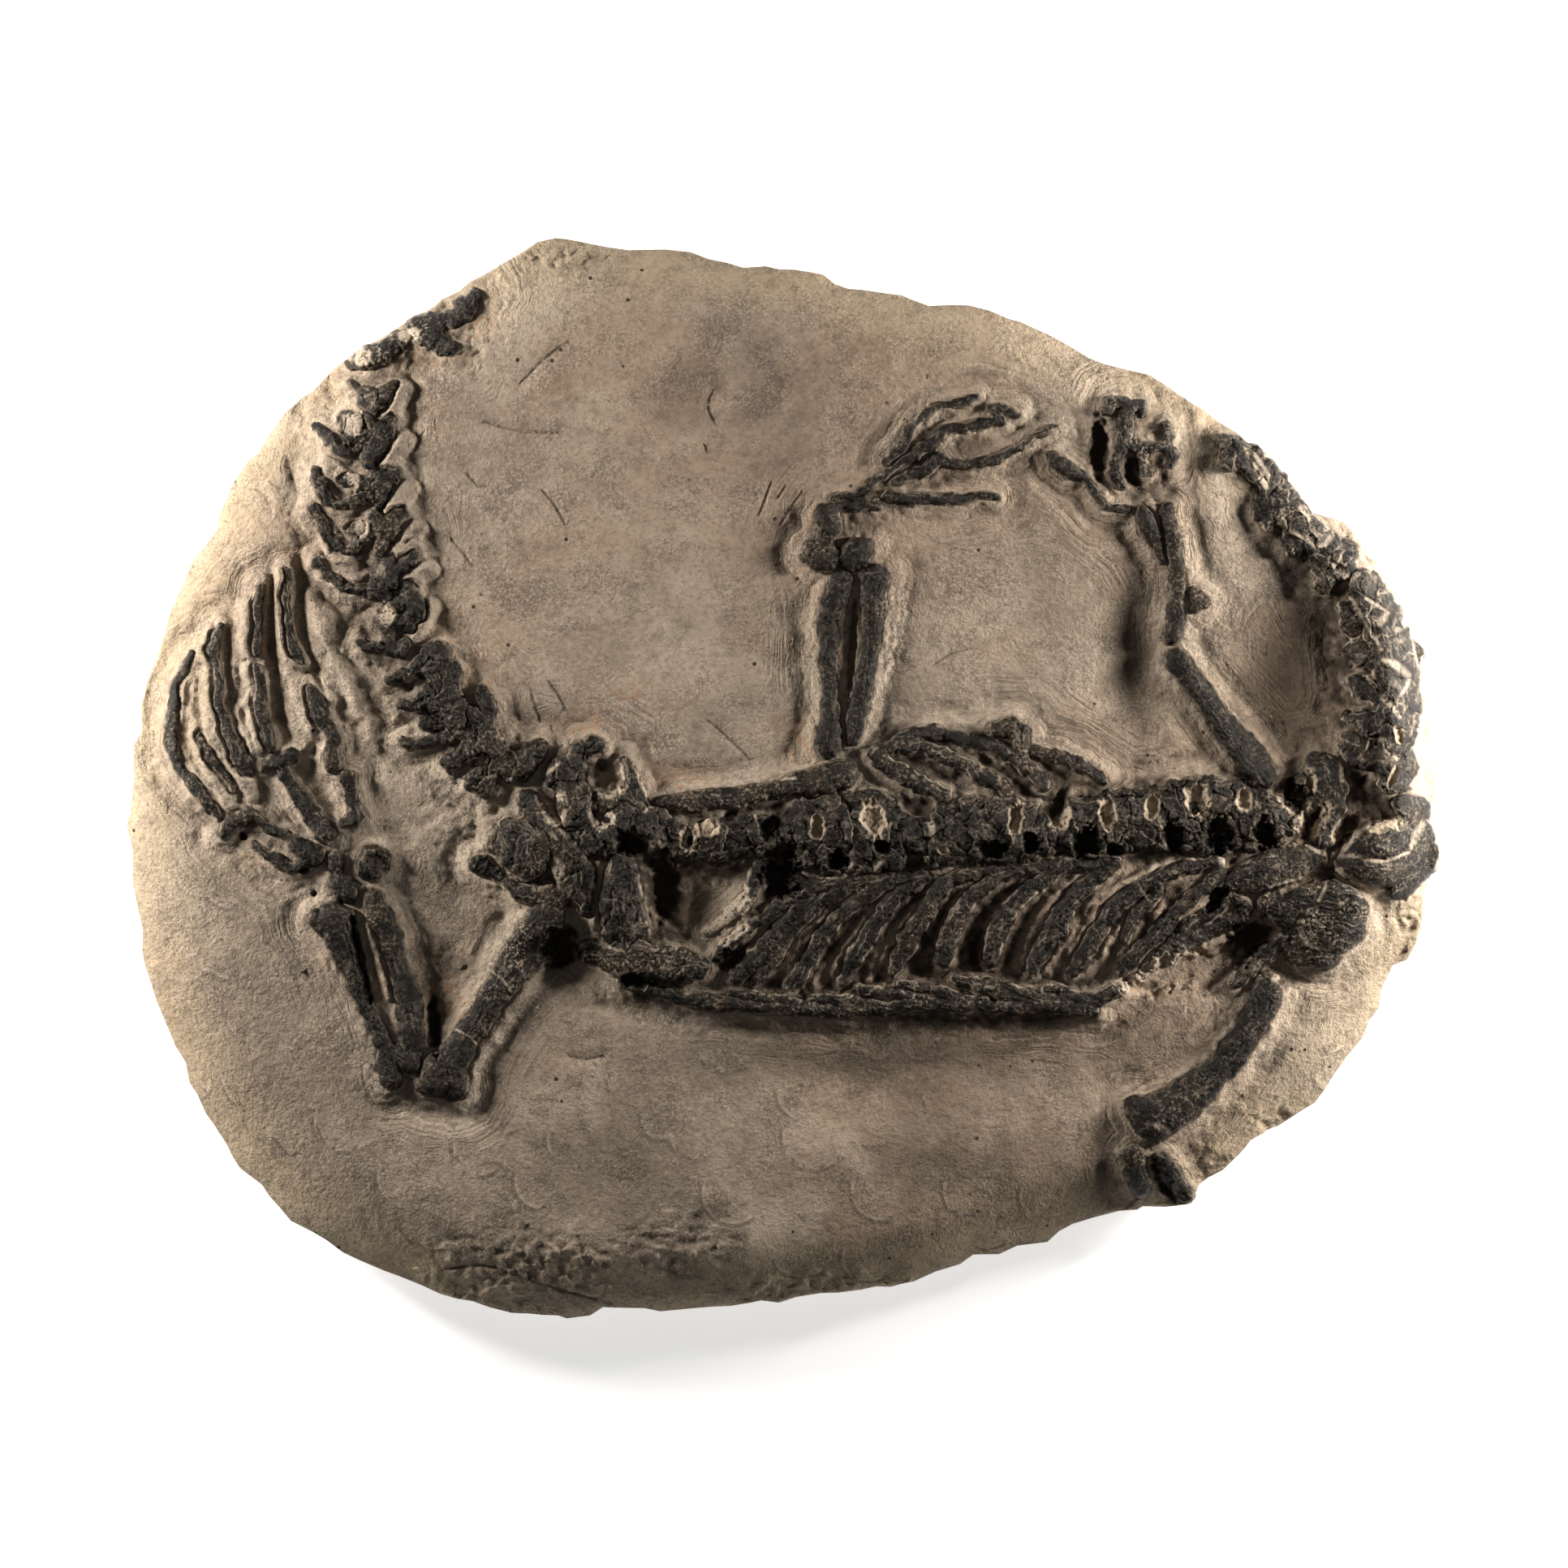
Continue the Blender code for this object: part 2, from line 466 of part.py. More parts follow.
def polar_edge():
    """The slab's edge as (angle, radius), sorted by angle and closed over both ends."""
    points = [place(x, y) for x, y in SLAB_EDGE]
    edge = sorted((math.atan2(y, x), math.hypot(x, y)) for x, y in points)
    first, last = edge[0], edge[-1]
    return [(last[0] - math.tau, last[1])] + edge + [(first[0] + math.tau, first[1])]


EDGE = polar_edge()


def edge_radius(angle):
    """The distance from the middle to the slab's edge in a direction."""
    for (a0, r0), (a1, r1) in zip(EDGE, EDGE[1:]):
        if a0 <= angle <= a1:
            share = (angle - a0) / (a1 - a0)
            return r0 + (r1 - r0) * share
    return EDGE[-1][1]


def top_height(x, y):
    """The height of the stone's top at a place in metres."""
    fraction = min(1.0, math.hypot(x, y) / edge_radius(math.atan2(y, x)))
    rim = max(0.0, (fraction - RIM_START) / (1 - RIM_START))
    height = CROWN_HEIGHT - GENTLE_FALL * fraction**4 - RIM_FALL * rim**RIM_POWER
    for px, py, wide, tall, rise in RELIEF:
        cx, cy = place(px, py)
        away = ((x - cx) / (wide * PIXEL)) ** 2 + ((y - cy) / (tall * PIXEL)) ** 2
        height += rise * MM * math.exp(-away)
    return height


def underside_height(fraction):
    """The underside is flat in the middle and lifts off the ground towards the rim."""
    share = max(0.0, (fraction - UNDERSIDE_START) / (1 - UNDERSIDE_START))
    return UNDERSIDE_RISE * share * share * (3 - 2 * share)


def clear_scene():
    for obj in list(bpy.data.objects):
        bpy.data.objects.remove(obj, do_unlink=True)


def collection(name):
    made = bpy.data.collections.new(name)
    bpy.context.scene.collection.children.link(made)
    return made


def material(name, colour):
    made = bpy.data.materials.new(name)
    made.use_nodes = True
    shader = made.node_tree.nodes["Principled BSDF"]
    shader.inputs["Base Color"].default_value = colour
    shader.inputs["Roughness"].default_value = ROUGHNESS
    shader.inputs["Metallic"].default_value = 0.0
    made.diffuse_color = colour
    return made


def evaluated_mesh(obj):
    """The object's mesh with its modifiers applied."""
    graph = bpy.context.evaluated_depsgraph_get()
    return bpy.data.meshes.new_from_object(obj.evaluated_get(graph))


def apply_modifiers(obj):
    mesh = evaluated_mesh(obj)
    obj.modifiers.clear()
    obj.data = mesh


def remove(obj):
    bpy.data.objects.remove(obj, do_unlink=True)


def mesh_object(name, mesh, home):
    obj = bpy.data.objects.new(name, mesh)
    home.objects.link(obj)
    return obj


def decimate(obj, triangles):
    """Collapses the mesh to about this many triangles."""
    faces = sum(len(face.vertices) - 2 for face in obj.data.polygons)
    if faces <= triangles:
        return
    modifier = obj.modifiers.new("fewer faces", "DECIMATE")
    modifier.ratio = triangles / faces
    modifier.use_collapse_triangulate = True
    apply_modifiers(obj)


def subtract(obj, cutter):
    modifier = obj.modifiers.new("cut", "BOOLEAN")
    modifier.operation = "DIFFERENCE"
    modifier.solver = "EXACT"
    modifier.object = cutter
    apply_modifiers(obj)


def make_slab(home):
    """A sphere's upper half spread over the slab's top, and its lower half over the underside."""
    form = bmesh.new()
    bmesh.ops.create_uvsphere(form, u_segments=SLAB_SEGMENTS, v_segments=SLAB_RINGS, radius=1)
    for vertex in form.verts:
        angle = math.atan2(vertex.co.y, vertex.co.x)
        latitude = math.asin(max(-1.0, min(1.0, vertex.co.z))) / (math.pi / 2)
        fraction = 1 - abs(latitude) ** RING_POWER
        reach = fraction * edge_radius(angle)
        x, y = reach * math.cos(angle), reach * math.sin(angle)
        top, under = top_height(x, y), underside_height(fraction)
        if abs(latitude) < 0.5 / SLAB_RINGS:
            vertex.co = (x, y, (top + under) / 2)
        else:
            vertex.co = (x, y, top if latitude > 0 else under)
    mesh = bpy.data.meshes.new("matrix_slab")
    form.to_mesh(mesh)
    form.free()
    slab = mesh_object("matrix_slab", mesh, home)
    decimate(slab, SLAB_TRIANGLES)
    return slab


def tube(stroke, home):
    """One stroke as a tube whose radius follows the bone's half-width."""
    curve = bpy.data.curves.new("tube", "CURVE")
    curve.dimensions = "3D"
    curve.resolution_u = CURVE_STEPS
    curve.bevel_depth = PIXEL
    curve.bevel_resolution = TUBE_STEPS
    curve.use_fill_caps = True
    spline = curve.splines.new("BEZIER")
    spline.bezier_points.add(len(stroke) - 1)
    for point, (x, y, radius) in zip(spline.bezier_points, stroke):
        point.co = (*place(x, y), 0)
        point.radius = radius
        point.handle_left_type = "AUTO"
        point.handle_right_type = "AUTO"
    obj = mesh_object("tube", curve, home)
    bpy.context.view_layer.update()
    mesh = evaluated_mesh(obj)
    remove(obj)
    return mesh


def strokes_mesh(name, strokes, home):
    """The tubes of all strokes and a ball at each end, in one mesh that lies flat on z = 0."""
    form = bmesh.new()
    for stroke in strokes:
        if len(stroke) > 1:
            form.from_mesh(tube(stroke, home))
        for x, y, radius in (stroke[0], stroke[-1]):
            ball = bmesh.ops.create_icosphere(form, subdivisions=3, radius=radius * PIXEL)
            bmesh.ops.translate(form, verts=ball["verts"], vec=(*place(x, y), 0))
    bmesh.ops.remove_doubles(form, verts=form.verts, dist=1e-6)
    mesh = bpy.data.meshes.new(name)
    form.to_mesh(mesh)
    form.free()
    return mesh


def stroke_length(stroke):
    return sum(math.hypot(b[0] - a[0], b[1] - a[1]) for a, b in zip(stroke, stroke[1:]))


def one_skin(obj):
    """Joins all that overlaps into one closed skin of even small faces."""
    modifier = obj.modifiers.new("one skin", "REMESH")
    modifier.mode = "VOXEL"
    modifier.voxel_size = VOXEL
    apply_modifiers(obj)


def eased(z):
    """The height of a flat bone's point over its axis once it lies on the stone."""
    return CAP * math.tanh(SQUASH * z / CAP)


def bed_level(lift):
    """The flat height whose place on the stone is one clearance over it."""
    return math.atanh((BED_GAP - lift) / CAP) * CAP / SQUASH


def cut_bed(obj, lift, home):
    """Cuts off what would lie in the stone, leaving the bone a flat bed."""
    form = bmesh.new()
    bmesh.ops.create_cube(form, size=1)
    bmesh.ops.translate(form, verts=form.verts, vec=(0, 0, bed_level(lift) - 0.5))
    mesh = bpy.data.meshes.new("bed")
    form.to_mesh(mesh)
    form.free()
    block = mesh_object("bed", mesh, home)
    subtract(obj, block)
    remove(block)


def surface_tree(obj):
    points = [vertex.co for vertex in obj.data.vertices]
    faces = [tuple(face.vertices) for face in obj.data.polygons]
    return BVHTree.FromPolygons(points, faces)


def carve(obj, carvers):
    """Cuts the flat bone back from every finished bone that it would touch."""
    for carver in carvers:
        if surface_tree(obj).overlap(surface_tree(carver)):
            subtract(obj, carver)


def make_carver(bone, triangles, home):
    """The finished flat bone swollen by the gap and stretched upright, to carve its neighbours with."""
    carver = mesh_object(bone.name + "_carver", bone.data.copy(), home)
    decimate(carver, triangles)
    normals = [vertex.normal.copy() for vertex in carver.data.vertices]
    for vertex, normal in zip(carver.data.vertices, normals):
        vertex.co += normal * GAP
        vertex.co.z *= CARVER_STRETCH
    carver.display_type = "WIRE"
    carver.hide_render = True
    return carver


def islands(form):
    """The form's loose bodies, as lists of faces."""
    left = set(form.faces)
    bodies = []
    while left:
        body = []
        queue = [left.pop()]
        while queue:
            face = queue.pop()
            body.append(face)
            for edge in face.edges:
                for other in edge.link_faces:
                    if other in left:
                        left.discard(other)
                        queue.append(other)
        bodies.append(body)
    return bodies


def drop_crumbs(obj):
    """Keeps the one large body and drops the crumbs that a cut leaves beside it."""
    form = bmesh.new()
    form.from_mesh(obj.data)
    bodies = sorted(islands(form), key=len)
    for body in bodies[:-1]:
        share = len(body) / len(form.faces)
        if share > CRUMB_SHARE:
            raise ValueError(f"{obj.name} comes apart: a body holds {share:.0%} of its faces")
        bmesh.ops.delete(form, geom=body, context="FACES")
    form.to_mesh(obj.data)
    form.free()


def drape(obj, lift):
    """Lays the flat bone along the stone's top, with its height eased towards the cap."""
    for vertex in obj.data.vertices:
        x, y, z = vertex.co
        vertex.co = (x, y, top_height(x, y) + lift + eased(z))


def make_bone(name, strokes, lift, carvers, home, helpers):
    """One bone from its strokes: shaped flat, cut clear of the bones before it, then laid on the stone."""
    length = sum(stroke_length(stroke) for stroke in strokes)
    triangles = BASE_TRIANGLES + TRIANGLES_PER_PIXEL * length
    bone = mesh_object(name, strokes_mesh(name, strokes, home), home)
    one_skin(bone)
    cut_bed(bone, lift, helpers)
    carve(bone, carvers)
    one_skin(bone)
    drop_crumbs(bone)
    carvers.append(make_carver(bone, 2 * triangles, helpers))
    drape(bone, lift)
    decimate(bone, triangles)
    return bone


def main():
    clear_scene()
    parts = collection("fossil_skeleton")
    helpers = collection("helpers")
    stone = material("stone", STONE_COLOUR)
    bone_dark = material("fossil_bone", BONE_COLOUR)

    slab = make_slab(parts)
    slab.data.materials.append(stone)

    carvers = []
    for group, lift in GROUPS:
        for name, strokes in group.items():
            bone = make_bone(name, strokes, lift, carvers, parts, helpers)
            bone.data.materials.clear()
            bone.data.materials.append(bone_dark)
    for carver in carvers:
        remove(carver)


main()
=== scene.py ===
"""The looks of a small reptile's fossil skeleton in relief on an oval stone slab.

All places are read off the picture in pixels, x to the right and y down, and turned into metres by place().
The slab's top and the bones are height fields on one grid of such pixels, and each piece is meshed from them.
"""

import math

import bpy
import numpy as np
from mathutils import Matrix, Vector

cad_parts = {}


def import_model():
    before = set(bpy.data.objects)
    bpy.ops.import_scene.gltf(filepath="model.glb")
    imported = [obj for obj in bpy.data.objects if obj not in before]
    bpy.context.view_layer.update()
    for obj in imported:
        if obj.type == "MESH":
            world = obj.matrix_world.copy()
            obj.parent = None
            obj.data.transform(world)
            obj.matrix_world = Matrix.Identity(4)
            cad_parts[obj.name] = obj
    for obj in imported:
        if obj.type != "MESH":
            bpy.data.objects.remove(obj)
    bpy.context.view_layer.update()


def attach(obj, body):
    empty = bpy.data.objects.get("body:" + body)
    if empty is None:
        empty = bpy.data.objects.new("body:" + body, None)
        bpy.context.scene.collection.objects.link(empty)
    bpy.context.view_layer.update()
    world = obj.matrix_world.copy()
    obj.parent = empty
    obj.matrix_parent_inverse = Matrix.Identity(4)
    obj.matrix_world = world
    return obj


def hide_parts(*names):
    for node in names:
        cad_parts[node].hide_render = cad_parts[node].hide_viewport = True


# The picture's scale and the pixel that lies over the model's middle.
PIXEL = 0.00022
MM = 0.001
CENTRE_X = 964
CENTRE_Y = 959

# The grid that all height fields share: its first pixel and its size.
LEFT = 130
TOP = 260
COLUMNS = 1680
ROWS = 1400

# The slab, as in the part's solids.
CROWN_HEIGHT = 27 * MM
GENTLE_FALL = 4 * MM
RIM_FALL = 9 * MM
RIM_START = 0.88
RIM_POWER = 1.6
UNDERSIDE_START = 0.68
UNDERSIDE_RISE = 7 * MM

# The turns over which the rim's notches are evened out, in radians.
EVEN_TURNS = np.radians((-6, -3, 0, 3, 6))

# Rises and hollows of the stone's top: x, y, their two half-widths in pixels, and the height in mm.
RELIEF = (
    (1600, 760, 70, 150, -4.0),
    (1250, 740, 170, 110, -2.5),
    (850, 800, 170, 110, -2.0),
    (700, 560, 160, 120, 1.0),
    (1060, 1340, 330, 65, -4.0),
    (870, 1110, 55, 45, -4.0),
    (700, 1185, 45, 30, -5.0),
    (540, 1150, 60, 110, -3.0),
    (1190, 1060, 420, 95, 3.5),
    (740, 1040, 100, 100, 3.0),
    (1530, 1160, 70, 40, -3.0),
    (1545, 565, 45, 40, 4.0),
    (1605, 640, 45, 45, 5.0),
    (1665, 715, 45, 50, 6.0),
    (1705, 800, 40, 55, 7.0),
    (1715, 890, 38, 60, 7.0),
    (1715, 985, 45, 60, 6.0),
    (1700, 1060, 50, 50, 5.0),
    (560, 385, 60, 40, -2.0),
    (700, 305, 70, 30, 2.0),
)

# The slab's edge, clockwise from the top as the picture shows it.
SLAB_EDGE = (
    (690, 294), (716, 296), (748, 306), (830, 307), (890, 321), (912, 330), (1000, 333), (1030, 348),
    (1062, 359), (1100, 363), (1122, 369), (1150, 377), (1190, 375), (1212, 376), (1240, 392), (1310, 422),
    (1345, 443), (1375, 454), (1412, 460), (1430, 473), (1470, 495), (1508, 522), (1545, 552), (1580, 595),
    (1606, 628), (1632, 635), (1652, 642), (1680, 668), (1698, 694), (1720, 733), (1728, 765), (1744, 800),
    (1752, 822), (1757, 850), (1764, 910), (1768, 960), (1763, 1030), (1759, 1075), (1755, 1100),
    (1757, 1130), (1750, 1158), (1730, 1183), (1717, 1188), (1700, 1225), (1694, 1250), (1670, 1292),
    (1650, 1315), (1630, 1347), (1605, 1371), (1575, 1384), (1550, 1400), (1510, 1440), (1478, 1457),
    (1474, 1478), (1464, 1488), (1420, 1487), (1380, 1493), (1340, 1500), (1308, 1517), (1285, 1532),
    (1215, 1545), (1150, 1567), (1122, 1583), (1080, 1585), (1030, 1591), (985, 1600), (900, 1608),
    (850, 1613), (742, 1608), (730, 1620), (700, 1624), (640, 1620), (590, 1607), (520, 1582), (450, 1555),
    (395, 1528), (360, 1505), (335, 1476), (293, 1432), (262, 1382), (245, 1350), (232, 1318), (207, 1270),
    (184, 1210), (171, 1130), (160, 1045), (162, 985), (168, 910), (180, 840), (202, 795), (212, 750),
    (238, 693), (258, 668), (277, 622), (300, 570), (325, 549), (350, 512), (395, 468), (450, 427),
    (500, 399), (560, 359), (610, 331), (660, 299),
)

# The bones' strokes: each is a list of (x, y, half-width) in pixels along a bone's axis.
TAIL = {
    "tail_tip_vertebrae": [
        [(566, 372, 7), (575, 385, 8), (552, 392, 8), (530, 395, 9), (508, 400, 5)],
        [(530, 395, 9), (532, 415, 12), (545, 425, 12), (557, 430, 5)],
    ],
    "tail_vertebra_3": [
        [(500, 412, 5), (488, 420, 9), (470, 435, 13), (455, 440, 13), (440, 445, 8), (431, 449, 4)],
    ],
    "tail_vertebra_4": [
        [(432, 472, 4), (445, 480, 6), (455, 487, 8), (470, 490, 10), (483, 476, 5)],
        [(441, 480, 4), (445, 495, 4), (462, 503, 7), (470, 490, 8)],
    ],
    "tail_vertebra_5": [
        [(432, 520, 12), (434, 540, 9), (450, 540, 10), (468, 545, 12), (458, 562, 8), (455, 572, 5)],
        [(450, 510, 4), (462, 525, 7), (482, 520, 5)],
        [(462, 525, 7), (478, 527, 8), (468, 545, 12)],
        [(392, 525, 4), (405, 540, 5), (418, 555, 5), (428, 558, 4), (455, 552, 6)],
    ],
    "tail_vertebra_6": [
        [(433, 592, 10), (450, 598, 8), (470, 600, 14), (462, 612, 10), (466, 620, 6)],
        [(460, 583, 5), (475, 592, 12), (488, 585, 5)],
        [(388, 582, 4), (395, 595, 5), (405, 612, 5), (418, 622, 4), (440, 616, 6), (455, 612, 5)],
    ],
    "tail_vertebra_7": [
        [(443, 652, 10), (460, 654, 8), (480, 655, 12), (472, 670, 8), (468, 680, 4)],
        [(463, 632, 5), (475, 650, 12), (497, 632, 4)],
        [(386, 625, 4), (400, 650, 4), (415, 672, 4), (430, 680, 5), (443, 668, 7), (450, 658, 8)],
    ],
    "tail_vertebra_8": [
        [(480, 692, 4), (490, 702, 8), (512, 686, 6)],
        [(488, 702, 8), (480, 715, 12), (466, 722, 12)],
        [(388, 692, 4), (412, 715, 4), (425, 724, 5), (445, 728, 7), (462, 728, 8), (480, 738, 5)],
    ],
    "tail_vertebra_9": [
        [(505, 730, 9), (510, 745, 11), (507, 760, 10), (503, 774, 6)],
        [(484, 748, 6), (500, 744, 9)],
        [(503, 762, 8), (486, 766, 9), (472, 766, 9), (480, 780, 8), (484, 792, 6)],
        [(443, 792, 4), (455, 797, 5), (475, 800, 6), (490, 803, 6), (500, 796, 5)],
        [(484, 792, 6), (478, 800, 5)],
    ],
    "tail_base_vertebrae": [
        [(525, 802, 6), (540, 800, 8), (550, 803, 5)],
        [(540, 800, 8), (540, 820, 20), (548, 850, 21), (545, 870, 16), (570, 885, 20), (590, 905, 22),
         (600, 925, 25), (618, 940, 20), (640, 945, 16), (655, 930, 14), (665, 920, 6)],
        [(478, 838, 4), (497, 832, 6), (520, 820, 12)],
        [(497, 870, 4), (515, 868, 8), (530, 860, 14)],
        [(525, 890, 6), (545, 892, 8), (560, 888, 10)],
        [(498, 915, 4), (520, 916, 5), (545, 910, 6), (570, 902, 10)],
        [(592, 853, 6), (603, 868, 7), (600, 885, 9), (592, 897, 12)],
        [(556, 940, 9), (575, 928, 12), (590, 925, 14)],
        [(588, 962, 14), (600, 972, 10), (603, 950, 14), (608, 938, 14)],
    ],
}

LOWER_FOOT = {
    "lower_toe_1": [
        [(237, 803, 4), (228, 820, 6), (218, 840, 6), (213, 855, 5), (213, 862, 8), (212, 880, 8),
         (209, 903, 8), (213, 925, 9), (222, 948, 8), (228, 955, 8), (245, 975, 9), (262, 995, 8),
         (272, 1008, 5)],
    ],
    "lower_toe_2": [
        [(247, 905, 5), (250, 918, 5), (268, 943, 6), (290, 972, 5)],
    ],
    "lower_toe_3": [
        [(270, 772, 5), (262, 800, 8), (268, 822, 7), (270, 850, 7), (268, 865, 6), (280, 893, 8),
         (285, 903, 10), (295, 930, 12), (305, 950, 9)],
    ],
    "lower_toe_4": [
        [(318, 822, 6), (322, 850, 7), (320, 862, 8), (326, 895, 9), (333, 920, 8)],
    ],
    "lower_toe_4_tip": [
        [(322, 722, 5), (318, 745, 6), (318, 765, 6), (315, 802, 6)],
    ],
    "lower_toe_5": [
        [(383, 848, 8), (392, 870, 12), (398, 890, 10), (410, 905, 10), (410, 943, 10)],
    ],
    "lower_toe_5_tip": [
        [(354, 702, 4), (353, 735, 5), (354, 762, 5), (360, 795, 6), (375, 814, 6)],
    ],
    "lower_metatarsal_1": [
        [(278, 1025, 7), (290, 1015, 9), (305, 1005, 9), (330, 1018, 8), (360, 1035, 9),
         (386, 1054, 13)],
        [(315, 1042, 6), (340, 1058, 9), (358, 1070, 8), (378, 1062, 10)],
    ],
    "lower_metatarsal_2": [
        [(330, 943, 8), (345, 938, 9), (358, 930, 8)],
        [(345, 938, 9), (352, 955, 9), (365, 975, 9), (385, 1005, 10), (403, 1026, 12)],
    ],
    "lower_metatarsal_3": [
        [(430, 960, 12), (432, 985, 8), (440, 1008, 11), (424, 1012, 8)],
    ],
    "lower_ankle_bone_1": [[(461, 1060, 22), (459, 1066, 22)]],
    "lower_ankle_bone_2": [
        [(422, 1090, 18), (426, 1096, 18)],
        [(414, 1056, 11), (418, 1076, 10), (424, 1088, 12)],
    ],
}

LOWER_LEG = {
    "lower_tibia": [
        [(412, 1133, 22), (418, 1150, 20), (424, 1170, 17), (434, 1195, 14), (443, 1220, 12),
         (455, 1245, 11), (467, 1270, 11), (478, 1295, 12), (486, 1318, 11), (489, 1332, 9)],
        [(400, 1133, 12), (432, 1128, 10)],
    ],
    "lower_fibula": [
        [(462, 1108, 14), (470, 1130, 17), (482, 1155, 16), (488, 1180, 14), (496, 1205, 15),
         (503, 1230, 16), (507, 1260, 16), (509, 1285, 15), (509, 1303, 13), (507, 1314, 9)],
    ],
    "lower_femur": [
        [(541, 1328, 24), (556, 1308, 22), (572, 1283, 18), (590, 1258, 18), (606, 1232, 18),
         (622, 1208, 20), (638, 1185, 24), (655, 1162, 27), (668, 1143, 27), (676, 1128, 20)],
        [(525, 1336, 12), (556, 1340, 12)],
    ],
}

HIPS = {
    "hip_oval_plate": [[(634, 1026, 19), (648, 1045, 32), (650, 1058, 26)]],
    "hip_bar": [
        [(650, 984, 9), (663, 1008, 13), (680, 1030, 17), (697, 1052, 20), (714, 1080, 18),
         (716, 1100, 14), (722, 1118, 9)],
        [(697, 1058, 18), (703, 1092, 12), (700, 1106, 10), (680, 1104, 12), (655, 1103, 9),
         (636, 1093, 6), (615, 1078, 6), (590, 1065, 10)],
    ],
    "hip_large_plate": [
        [(768, 1062, 14), (768, 1085, 20), (766, 1110, 24), (768, 1136, 24)],
        [(752, 1148, 10), (786, 1146, 10)],
    ],
    "hip_lower_plate": [
        [(727, 1172, 13), (745, 1176, 14), (770, 1182, 22), (782, 1200, 20)],
        [(785, 1182, 20), (812, 1184, 20), (838, 1190, 18), (858, 1190, 14)],
    ],
}

UPPER_LEG = {
    "upper_femur": [
        [(812, 988, 6), (830, 988, 10), (850, 987, 12), (880, 984, 12), (915, 980, 11), (950, 973, 10),
         (980, 967, 13), (1010, 961, 17), (1036, 955, 18)],
    ],
    "upper_fibula": [
        [(1037, 717, 14), (1031, 735, 14), (1022, 760, 12), (1020, 800, 11), (1021, 830, 9),
         (1022, 860, 8), (1023, 885, 11), (1021, 908, 14), (1019, 922, 13)],
    ],
    "upper_tibia": [
        [(1078, 713, 17), (1076, 735, 16), (1074, 765, 14), (1071, 800, 11), (1065, 835, 10),
         (1059, 865, 11), (1054, 893, 11), (1050, 912, 8)],
        [(1068, 708, 10), (1088, 708, 10)],
    ],
    "upper_ankle_bones": [
        [(1003, 680, 16), (1014, 686, 20), (1034, 686, 9), (1052, 684, 20), (1066, 673, 9)],
        [(1014, 668, 10), (1022, 652, 14), (1018, 634, 12), (1040, 622, 4), (1060, 624, 6),
         (1080, 622, 7)],
    ],
}

UPPER_FOOT = {
    "upper_toe_1": [
        [(1090, 569, 6), (1112, 552, 7), (1118, 537, 7), (1125, 527, 7), (1136, 514, 5), (1150, 503, 5),
         (1165, 498, 4), (1180, 497, 5), (1190, 496, 6), (1202, 491, 5)],
    ],
    "upper_toe_2": [
        [(1024, 614, 4), (1045, 612, 6), (1065, 605, 5), (1085, 590, 5), (1104, 576, 5), (1125, 562, 7),
         (1143, 550, 9), (1154, 539, 7), (1180, 528, 6), (1200, 526, 7), (1222, 520, 7), (1232, 518, 8),
         (1224, 502, 6), (1245, 507, 6), (1254, 513, 4)],
    ],
    "upper_toe_3": [
        [(1100, 594, 4), (1122, 586, 7), (1143, 579, 9), (1155, 566, 9), (1170, 572, 8), (1190, 575, 7),
         (1206, 572, 9), (1222, 568, 7), (1242, 560, 6), (1256, 552, 6), (1270, 539, 5), (1285, 532, 5),
         (1303, 526, 4)],
    ],
    "upper_toe_4": [
        [(1094, 611, 7), (1115, 617, 8), (1140, 614, 8), (1165, 615, 7), (1186, 615, 7), (1210, 610, 5),
         (1228, 613, 4)],
    ],
}

TRUNK = {
    "trunk_vertebrae_rear": [
        [(692, 952, 15), (706, 968, 18), (712, 995, 18), (716, 1016, 16), (745, 1035, 18),
         (768, 1008, 14), (790, 1004, 12), (815, 1022, 20), (845, 1040, 18), (880, 1035, 24),
         (915, 1030, 22), (939, 1027, 20)],
        [(712, 925, 8), (735, 918, 6)],
        [(706, 968, 16), (712, 928, 8)],
        [(771, 942, 4), (779, 962, 5), (786, 982, 8), (790, 1002, 10)],
        [(742, 988, 8), (765, 984, 9), (786, 990, 9)],
    ],
    "trunk_vertebrae_middle": [
        [(984, 1022, 22), (1015, 1022, 24), (1045, 1022, 26), (1080, 1018, 26), (1115, 1028, 20),
         (1150, 1035, 18), (1185, 1025, 24), (1220, 1020, 22), (1255, 1028, 22), (1285, 1030, 20)],
        [(990, 1000, 12), (1030, 987, 7), (1065, 984, 7), (1092, 996, 10)],
        [(985, 1055, 14), (1040, 1058, 16), (1100, 1056, 16)],
        [(1165, 1005, 12), (1210, 1000, 14), (1262, 1002, 12)],
        [(1150, 1050, 12), (1210, 1050, 12), (1270, 1050, 10)],
    ],
    "trunk_vertebrae_front": [
        [(1320, 1020, 20), (1350, 1022, 24), (1390, 1012, 24), (1430, 1010, 24), (1470, 1008, 26),
         (1510, 1008, 26), (1550, 1005, 28), (1575, 1010, 24)],
        [(1335, 993, 12), (1385, 988, 12), (1430, 986, 14), (1470, 974, 14), (1510, 975, 12),
         (1540, 985, 12)],
        [(1325, 1042, 12), (1380, 1036, 12), (1440, 1032, 12), (1520, 1036, 12), (1565, 1032, 10)],
    ],
}

